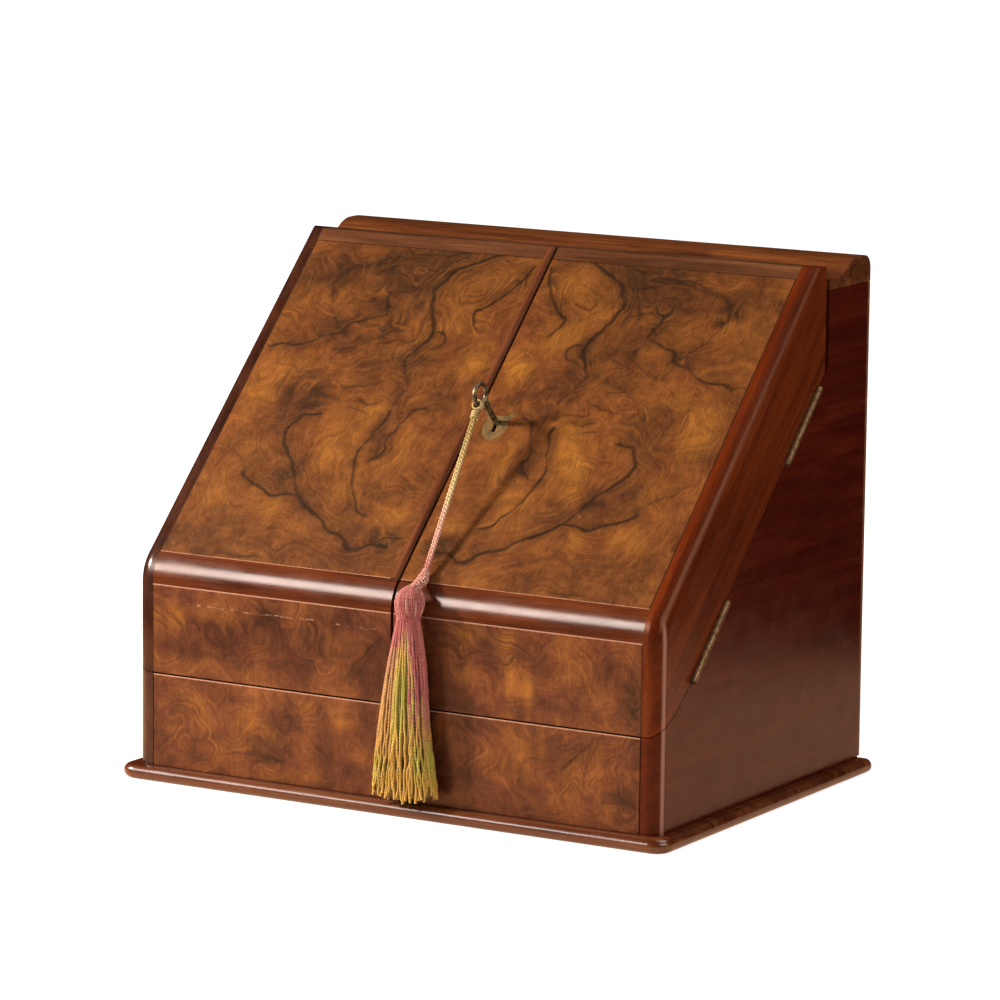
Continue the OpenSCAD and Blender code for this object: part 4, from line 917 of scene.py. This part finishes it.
front_blots = [
    (-130, 108, 16, 7, 0.35), (-104, 34, 18, 9, 0.3), (-150, 64, 14, 10, 0.25), (-64, 112, 10, 6, 0.35),
    (110, 60, 14, 8, 0.3), (134, 34, 12, 8, 0.35), (84, 40, 16, 7, 0.25), (18, 90, 14, 10, 0.35),
    (44, 50, 12, 10, 0.3), (178, 94, 9, 14, 0.75), (172, 28, 9, 12, 0.5), (62, 30, 12, 12, 0.4),
    (60, 64, 18, 7, 0.4), (118, 108, 12, 8, 0.25), (130, 84, 20, 8, 0.3), (182, 60, 6, 12, 0.4),
    (110, 13, 18, 6, 0.4), (-90, 116, 8, 6, 0.8), (-62, 100, 8, 16, 0.35), (-104, 112, 10, 10, 0.35),
    (-28, 86, 10, 12, 0.4), (-135, 92, 12, 8, 0.45), (-165, 88, 14, 10, 0.35), (-10, 100, 8, 20, 0.3),
    (-78, 58, 9, 10, 0.45), (-50, 34, 10, 9, 0.5), (-50, 58, 9, 12, 0.35), (-122, 62, 9, 7, 0.35),
    (-178, 26, 9, 14, 0.4), (-154, 18, 8, 6, 0.4), (-90, 24, 12, 4, 0.5), (-166, 52, 8, 10, 0.3),
    # The last three blots, wide and faint, darken the left of the front: painted shade
    (-20, 60, 8, 10, 0.35), (-110, 84, 14, 6, 0.3), (-40, 14, 20, 6, 0.3), (-80, 100, 90, 26, 0.36),
    (-40, 124, 60, 6, 0.2), (-90, 34, 100, 26, 0.12)]
front_lights = [
    (58, 125, 12, 6, 0.6), (84, 120, 8, 8, 0.7), (96, 95, 10, 12, 0.7), (88, 100, 4, 20, 0.6),
    (102, 88, 3, 18, 0.5), (140, 110, 8, 8, 0.6), (128, 118, 8, 6, 0.5), (152, 98, 10, 12, 0.4),
    (58, 100, 10, 10, 0.3), (100, 46, 8, 12, 0.7), (112, 56, 4, 16, 0.5), (95, 60, 8, 8, 0.5),
    (134, 34, 8, 14, 0.5), (152, 50, 8, 10, 0.35), (72, 46, 14, 12, 0.3), (160, 28, 6, 8, 0.4),
    (-166, 112, 7, 9, 0.9), (-182, 108, 6, 12, 0.5), (-126, 113, 7, 7, 0.7), (-146, 118, 8, 6, 0.5),
    (-104, 80, 14, 5, 0.5), (-150, 80, 12, 5, 0.5), (-98, 98, 8, 8, 0.3), (-40, 110, 12, 8, 0.25),
    (-150, 56, 8, 6, 0.8), (-144, 42, 9, 6, 0.8), (-108, 46, 12, 8, 0.7), (-92, 40, 8, 5, 0.6),
    (-36, 54, 8, 7, 0.7), (-166, 36, 8, 6, 0.6), (-112, 30, 9, 5, 0.6), (-62, 16, 12, 5, 0.6),
    (-90, 14, 12, 5, 0.5), (-64, 62, 8, 6, 0.4), (-132, 26, 9, 8, 0.5), (-20, 34, 8, 10, 0.4)]
print("lines on the front:", len(front_lines))

# %% Sheets on the front
crack_height, crack_from, crack_to = 120, -158, -4


def on_front(x, z, out):
    return here(x, -out, z)


def front_find(p):
    return p[:, 0], p[:, 2]


def front_figure(foot, top):
    """The figure of a sheet with a pale line of painted highlight at its lower and upper edges, at these
    heights
    """
    def figure(u, v):
        # The pale line along the edges is painted highlight; the crack is pale wood
        highlight_and_crack_gap = np.minimum(np.abs(top - v), np.abs(v - foot) + 0.35)
        crack = np.abs(v - crack_height - 1.8 * drift(u, u, 26, 61) - 0.5 * drift(u, u, 6, 63)) + 0.28 \
            + 0.55 * np.abs(drift(u, u, 9, 62))
        highlight_and_crack_gap = np.where((u < crack_to) & (u > crack_from), np.minimum(highlight_and_crack_gap, crack), highlight_and_crack_gap)
        drawn = draw_figure(u, v, front_lines, front_blots, front_lights, 41) | {"edge": highlight_and_crack_gap}
        return seamed(drawn, half_inside - margin - np.abs(u))
    return figure


front_net, drawer_half, foot_drop = 1.0, 183.35, 9
apron_foot, apron_top, drawer_top = split_height + 0.85 + 0.1, nose_foot - margin, split_height - 0.25
for name, body, low, high in (
        ("apron_right_veneer", "door_right", (door_edge_right, apron_foot),
         (half_inside - margin, apron_top)),
        ("apron_left_veneer", "door_left", (margin - half_inside, apron_foot),
         (door_edge_left, apron_top)),
        ("drawer_veneer", "drawer", (-drawer_half, drawer_foot + margin), (drawer_half, drawer_top))):
    lay_veneer(name, body, on_front, front_find, (low, high), front_net,
               front_figure(low[1] - foot_drop, high[1]), front_veneer)

# %% [markdown]
# ## Solid walnut
# Sides, rails, nose, lid and base are straight grained walnut, planed and French polished. The grain
# runs along each piece, so the pattern is stretched along one direction: fine pores 0.4 mm wide and
# some 6 mm long, and slower bands of colour 13 mm wide. A turned copy serves the door sides, whose
# grain follows the slope. Sides that meet at an upright edge get a pale line of painted highlight down
# it, and the left sides take a darker copy: painted shade.


# %% Walnut finish
def polished_walnut(name, tones, along, tilt=0.0, gloss=(0.22, 0.34), shine=0.4, film="#f0bc98", arris=None):
    """tones are dark to light; along is x, y or z; tilt turns the grain in the side view; film is the
    polish; arris is where an upright edge stands in x and y, down which a pale line of painted highlight
    runs"""
    finish, put, shader, mm = new_finish(name)
    turned = put("Mapping", {"Vector": mm, "Rotation": (-tilt, 0, 0)})
    fine, wide, streak = (
        put("VectorMath", (turned, [slow if axis == along else fast for axis in "xyz"]),
            operation="MULTIPLY")
        for fast, slow in ((2.4, 0.16), (0.075, 0.006), (0.55, 0.02)))
    pores = put("TexNoise", {"Vector": fine, "Scale": 1.0, "Detail": 2.0})
    bands = put("TexNoise", {"Vector": wide, "Scale": 1.0, "Detail": 4.0, "Distortion": 0.8})
    streaks = put("TexNoise", {"Vector": streak, "Scale": 1.0, "Detail": 4.0, "Roughness": 0.6,
                               "Distortion": 0.3})
    part = put("Math", (streaks, 0.4, 0.0), operation="MULTIPLY_ADD")
    whole = put("Math", (bands, 0.6, part), operation="MULTIPLY_ADD")
    ground = put("ValToRGB", (whole,), list(zip((0.36, 0.5, 0.64), tones)))
    speck = put("MapRange", (pores, 0.32, 0.5, 0.78, 1.03))
    grained = put("VectorMath", {0: ground, "Scale": speck}, operation="SCALE")
    # A pale line of painted highlight down the upright edge
    if arris:
        off = put("VectorMath", (mm, (*arris, 0)), operation="SUBTRACT")
        flat = put("VectorMath", (off, (1, 1, 0)), operation="MULTIPLY")
        gap = put("VectorMath", (flat,), out="Value", operation="LENGTH")
        painted_highlight = put("MapRange", (gap, 0.3, 2.6, 0.6, 0.0), interpolation_type="SMOOTHSTEP")
        grained = put("Mix", {0: painted_highlight, 6: grained, 7: light("#b08270")}, out=2, data_type="RGBA")
    smear = put("TexNoise", {"Vector": mm, "Scale": 0.05, "Detail": 5.0})
    polish = put("MapRange", (smear, 0.3, 0.7, *gloss))
    bump = put("Bump", {"Height": pores, "Strength": 0.1, "Distance": 0.0002})
    feed(shader, {"Base Color": grained, "Roughness": polish, "Normal": bump, "IOR": 1.5,
                  "Specular IOR Level": shine, "Specular Tint": light(film)})
    return finish


# The case's right front corner, down which the painted highlight runs
highlight_corner = (half_inside + 12.4, 6.4 - mid_depth)
walnut_x = polished_walnut("walnut_polished_lengthways", ("#3a1d10", "#5a3018", "#7a4822"), "x")
walnut_nose = polished_walnut("walnut_polished_moulding", ("#3a180a", "#52250f", "#663216"), "x",
                              gloss=(0.15, 0.23), shine=0.62, film="#fff6f0")
walnut_rail = polished_walnut("walnut_polished_dark_rail", ("#3f2515", "#563420", "#69442a"), "x")
walnut_slope = polished_walnut("walnut_polished_door_side", ("#431606", "#561f08", "#682b0c"), "y",
                               tilt=slope_angle, arris=highlight_corner)
walnut_case = polished_walnut("walnut_polished_case_side", ("#340a04", "#401006", "#4e1808"), "y",
                              gloss=(0.2, 0.32), shine=0.35, arris=highlight_corner)
walnut_base = polished_walnut("walnut_polished_base", ("#39160a", "#542711", "#693a1a"), "x",
                              gloss=(0.2, 0.3), shine=0.6, film="#ffffff")
# A darker copy of the side walnut for the left pieces, which face the lamps: painted shade
walnut_left_shaded = polished_walnut("walnut_polished_left_side_shaded", ("#26100a", "#33180d", "#402012"), "y",
                              tilt=slope_angle / 2, gloss=(0.2, 0.32), film="#ffe8dc")
walnut_bead = polished_walnut("walnut_polished_bead", ("#42200f", "#5a301c", "#704228"), "y",
                              tilt=slope_angle)
print("walnut finishes:", sum(m.name.startswith("walnut_polished") for m in bpy.data.materials))

# %% [markdown]
# ## Plain wood, metal and glass
# The inside is plain stained wood, waxed and almost dull. Hinges, lock and escutcheon are brass that has
# aged: bright in some places and brown in blotches elsewhere. The key is dark bronze. The ink bottles are
# pressed glass, slightly green. Blotches of age are 3 to 8 mm across and scratches 0.4 mm wide.


# %% Inside wood
def waxed_wood(name, along):
    """Stained mahogany under wax: the grain runs along x or y"""
    finish, put, shader, mm = new_finish(name)
    fine, wide = (
        put("VectorMath", (mm, [slow if axis == along else fast for axis in "xyz"]), operation="MULTIPLY")
        for fast, slow in ((1.6, 0.1), (0.14, 0.01)))
    pores = put("TexNoise", {"Vector": fine, "Scale": 1.0, "Detail": 3.0})
    bands = put("TexNoise", {"Vector": wide, "Scale": 1.0, "Detail": 3.0, "Distortion": 0.6})
    part = put("Math", (bands, 0.7, 0.0), operation="MULTIPLY_ADD")
    whole = put("Math", (pores, 0.6, part), operation="MULTIPLY_ADD")
    ground = put("ValToRGB", (whole,), ((0.48, "#53301d"), (0.65, "#6b3d24"), (0.82, "#7e4d2e")))
    dull = put("MapRange", (bands, 0.3, 0.7, 0.5, 0.68))
    bump = put("Bump", {"Height": pores, "Strength": 0.2, "Distance": 0.0003})
    feed(shader, {"Base Color": ground, "Roughness": dull, "Normal": bump, "IOR": 1.5})
    return finish


wood_x, wood_y = waxed_wood("mahogany_waxed_lengthways", "x"), waxed_wood("mahogany_waxed_crossways", "y")
print("inside wood:", wood_x.name, wood_y.name)


# %% Metal and glass
def aged_metal(name, bright, dark, rough, age, bare=1.0):
    """age is how much is dark, and bare how much of the metal shows through its brown skin, from 0 to 1"""
    finish, put, shader, mm = new_finish(name)
    blotch = put("TexNoise", {"Vector": mm, "Scale": 0.22, "Detail": 5.0, "Roughness": 0.65})
    lines = put("VectorMath", (mm, (2.6, 0.5, 0.5)), operation="MULTIPLY")
    scratch = put("TexNoise", {"Vector": lines, "Scale": 1.0, "Detail": 2.0})
    both = put("Math", (scratch, 0.35, blotch), operation="MULTIPLY_ADD")
    much = put("MapRange", (both, 0.45 + 0.25 * (1 - age), 0.62 + 0.25 * (1 - age), 0.0, 1.0))
    tone = put("Mix", {0: much, 6: light(bright), 7: light(dark)}, out=2, data_type="RGBA")
    dull = put("MapRange", (both, 0.5, 0.85, rough, rough + 0.22))
    bump = put("Bump", {"Height": both, "Strength": 0.15, "Distance": 0.0002})
    feed(shader, {"Base Color": tone, "Roughness": dull, "Normal": bump, "Metallic": bare})
    return finish


brass_hinge = aged_metal("brass_aged_hinge", "#8e6f4a", "#604428", 0.34, 0.4, bare=0.6)
brass_plate = aged_metal("brass_tarnished_plate", "#74582e", "#50391a", 0.45, 0.4, bare=0.4)
brass_clean = aged_metal("brass_rubbed", "#96815a", "#5c4a30", 0.34, 0.35, bare=0.85)
bronze_key = aged_metal("bronze_dark_worn", "#8c7a5c", "#463626", 0.34, 0.5, bare=0.65)
steel_pin = aged_metal("steel_turned_oiled", "#8c8884", "#4a423c", 0.34, 0.4)

glass, put, shader, mm = new_finish("glass_pressed_pale_green")
ripple = put("TexNoise", {"Vector": mm, "Scale": 0.12, "Detail": 2.0})
tint = put("Mix", {0: ripple, 6: light("#cfe0d8"), 7: light("#e6efe9")}, out=2, data_type="RGBA")
wave = put("Bump", {"Height": ripple, "Strength": 0.2, "Distance": 0.001})
feed(shader, {"Base Color": tint, "Normal": wave, "Roughness": 0.03, "IOR": 1.52,
              "Transmission Weight": 1.0})
print("metals and glass ready")

# %% [markdown]
# ## Dressing the CAD pieces
# Every CAD piece keeps its shape and gets its finish. The sheets of veneer cover the panels' faces, and
# the panels' own edges take the darker walnut.


# %% Dress the pieces
def pairs(*stems):
    """Each name with left and with right in the star's place"""
    return [stem.replace("*", side) for stem in stems for side in ("left", "right")]


dressing = {
    walnut_x: ["lid_board"],
    walnut_base: ["base_board"],
    walnut_nose: pairs("door_*_nose"),
    walnut_rail: pairs("door_*_rail", "door_*_panel", "door_*_apron") + ["drawer_front"],
    walnut_slope: ["door_right_side"],
    walnut_case: ["case_side_right"],
    walnut_left_shaded: ["door_left_side", "case_side_left"],
    walnut_bead: ["meeting_bead"],
    wood_x: ["case_back", "back_rail", "drawer_floor", "compartment_wall", "pen_tray", "drawer_back",
             "drawer_bottom"] + [f"rack_divider_{k}" for k in range(1, 5)],
    wood_y: ["rack_cheeks"] + pairs("drawer_side_*"),
    brass_hinge: pairs("hinge_case_leaves_*", "hinge_door_leaves_*")
    + ["lid_hinge_case_leaves", "lid_hinge_leaves"],
    brass_plate: ["escutcheon"],
    brass_clean: pairs("door_*_screws", "ink_collar_*", "ink_lid_*")
    + ["hinge_case_screws", "lid_screws", "lock_case", "lock_bolt", "lock_keeper", "drawer_pin"],
    bronze_key: ["key"],
    steel_pin: pairs("hinge_pins_*") + ["lid_hinge_pins"],
    glass: pairs("ink_bottle_*"),
    silk_cord: ["key_cord", "cord_loop"],
    silk_tassel: ["tassel_head", "tassel_skirt"],
}
for finish, names in dressing.items():
    for name in names:
        slots = bpy.data.objects[name].data.materials
        slots.clear()
        slots.append(finish)

# %% [markdown]
# ## The stage
# The cabinet stands on a plain white surface before a white ground. Only the near part of the surface
# shows in the polish: further off a real studio is dark, which is why the polished side looks deep red
# above and paler near its foot. So the floor is a disc and a ring of the same finish, and the ring is
# kept out of reflections.

# %% Floor
near_reach, far_reach, floor_sides = 0.6, 30, 96
floor_bounce, floor_warmth = (0.84, 0.5, 0.3, 1), (1.6, 0.96, 0.58, 1)
white, put, shader, mm = new_finish("paper_white_matt")
fibre = put("TexNoise", {"Vector": mm, "Scale": 0.02, "Detail": 3.0})
paper = put("MapRange", {0: fibre, 3: 0.5, 4: 0.54})
rays = put("LightPath").node.outputs
mirrored = put("Mix", {0: rays["Is Glossy Ray"], 6: paper, 7: floor_bounce}, out=2, data_type="RGBA")
warmth = put("Mix", {0: rays["Is Glossy Ray"], 6: (1, 1, 1, 1), 7: floor_warmth}, out=2, data_type="RGBA")
away = put("VectorMath", (mm,), out="Value", operation="LENGTH")
rise = put("MapRange", (away, 350.0, 1600.0, 0.78, 1.0))
glow = put("MapRange", {0: rays["Is Camera Ray"], 3: 0.3, 4: rise})
feed(shader, {"Base Color": mirrored, "Emission Color": warmth, "Emission Strength": glow, "Roughness": 0.9,
              "Specular IOR Level": 0.1})


def floor_piece(name, inner, outer):
    """A disc out to outer, or the ring from inner to outer"""
    floor = bmesh.new()
    turns = [math.tau * k / floor_sides for k in range(floor_sides)]
    rings = [[floor.verts.new((r * math.cos(a), r * math.sin(a), 0)) for a in turns]
             for r in (inner, outer) if r]
    if inner:
        for a, b, c, d in zip(rings[0], rings[1], rings[1][1:] + rings[1][:1], rings[0][1:] + rings[0][:1]):
            floor.faces.new((a, b, c, d))
    else:
        floor.faces.new(rings[0])
    mesh = bpy.data.meshes.new(name)
    floor.to_mesh(mesh)
    floor.free()
    mesh.materials.append(white)
    piece = show(name, mesh)
    return piece


floor_piece("floor_near", 0, near_reach)
floor_piece("floor_far", near_reach, far_reach).visible_glossy = False
print("floor out to", far_reach, "m, in reflections to", near_reach, "m")

# %% [markdown]
# ## The light
# A white world shows behind the cabinet, and is dim and brown in its polish, as a dark studio would be.
# Four soft boxes light it: a broad one in front, a small hard one from the left that throws the tassel's
# shadow, and weak ones above and at the right.

# %% Surrounding light
world = bpy.data.worlds.new("studio")
bpy.context.scene.world = world
world.use_nodes = True
world.node_tree.nodes.clear()
put = partial(add, world.node_tree)
rays = put("LightPath").node.outputs
seen, soft, deep = (put("Background", {"Color": light(tone), "Strength": strength})
                    for tone, strength in (("#ffffff", 1.0), ("#e8e6e2", 0.16), ("#6a4a3c", 0.04)))
some = put("MixShader", (rays["Is Glossy Ray"], soft, deep))
sky = put("MixShader", (rays["Is Camera Ray"], some, seen))
put("OutputWorld", {"Surface": sky})
print("world:", world.name, "with", len(world.node_tree.nodes), "nodes")


# %% Soft boxes
def soft_box(name, way, distance, width, height, power, tone):
    """A rectangular lamp that looks at the cabinet's middle from a direction"""
    lamp = bpy.data.lights.new(name, "AREA")
    lamp.shape, lamp.size, lamp.size_y, lamp.energy = "RECTANGLE", width, height, power
    lamp.color = light(tone)[:3]
    stand = show(name, lamp)
    way = Vector(way).normalized()
    stand.location = middle + way * distance
    stand.rotation_euler = way.to_track_quat("Z", "Y").to_euler()


middle = Vector((0, -0.05, 0.15))
soft_box("front_box", (-0.499, -0.75, 0.433), 2.6, 0.8, 0.7, 28, "#fff6f0")
soft_box("key_box", (-0.775, -0.44, 0.42), 1.9, 0.24, 0.3, 74, "#fff0e2")
soft_box("top_box", (0.25, 0.35, 0.9), 2.4, 1.2, 1.2, 16, "#ffffff")
soft_box("side_box", (0.85, -0.15, 0.5), 2.0, 1.3, 1.1, 17, "#fff0ea")
bpy.context.scene.view_settings.view_transform = "Standard"
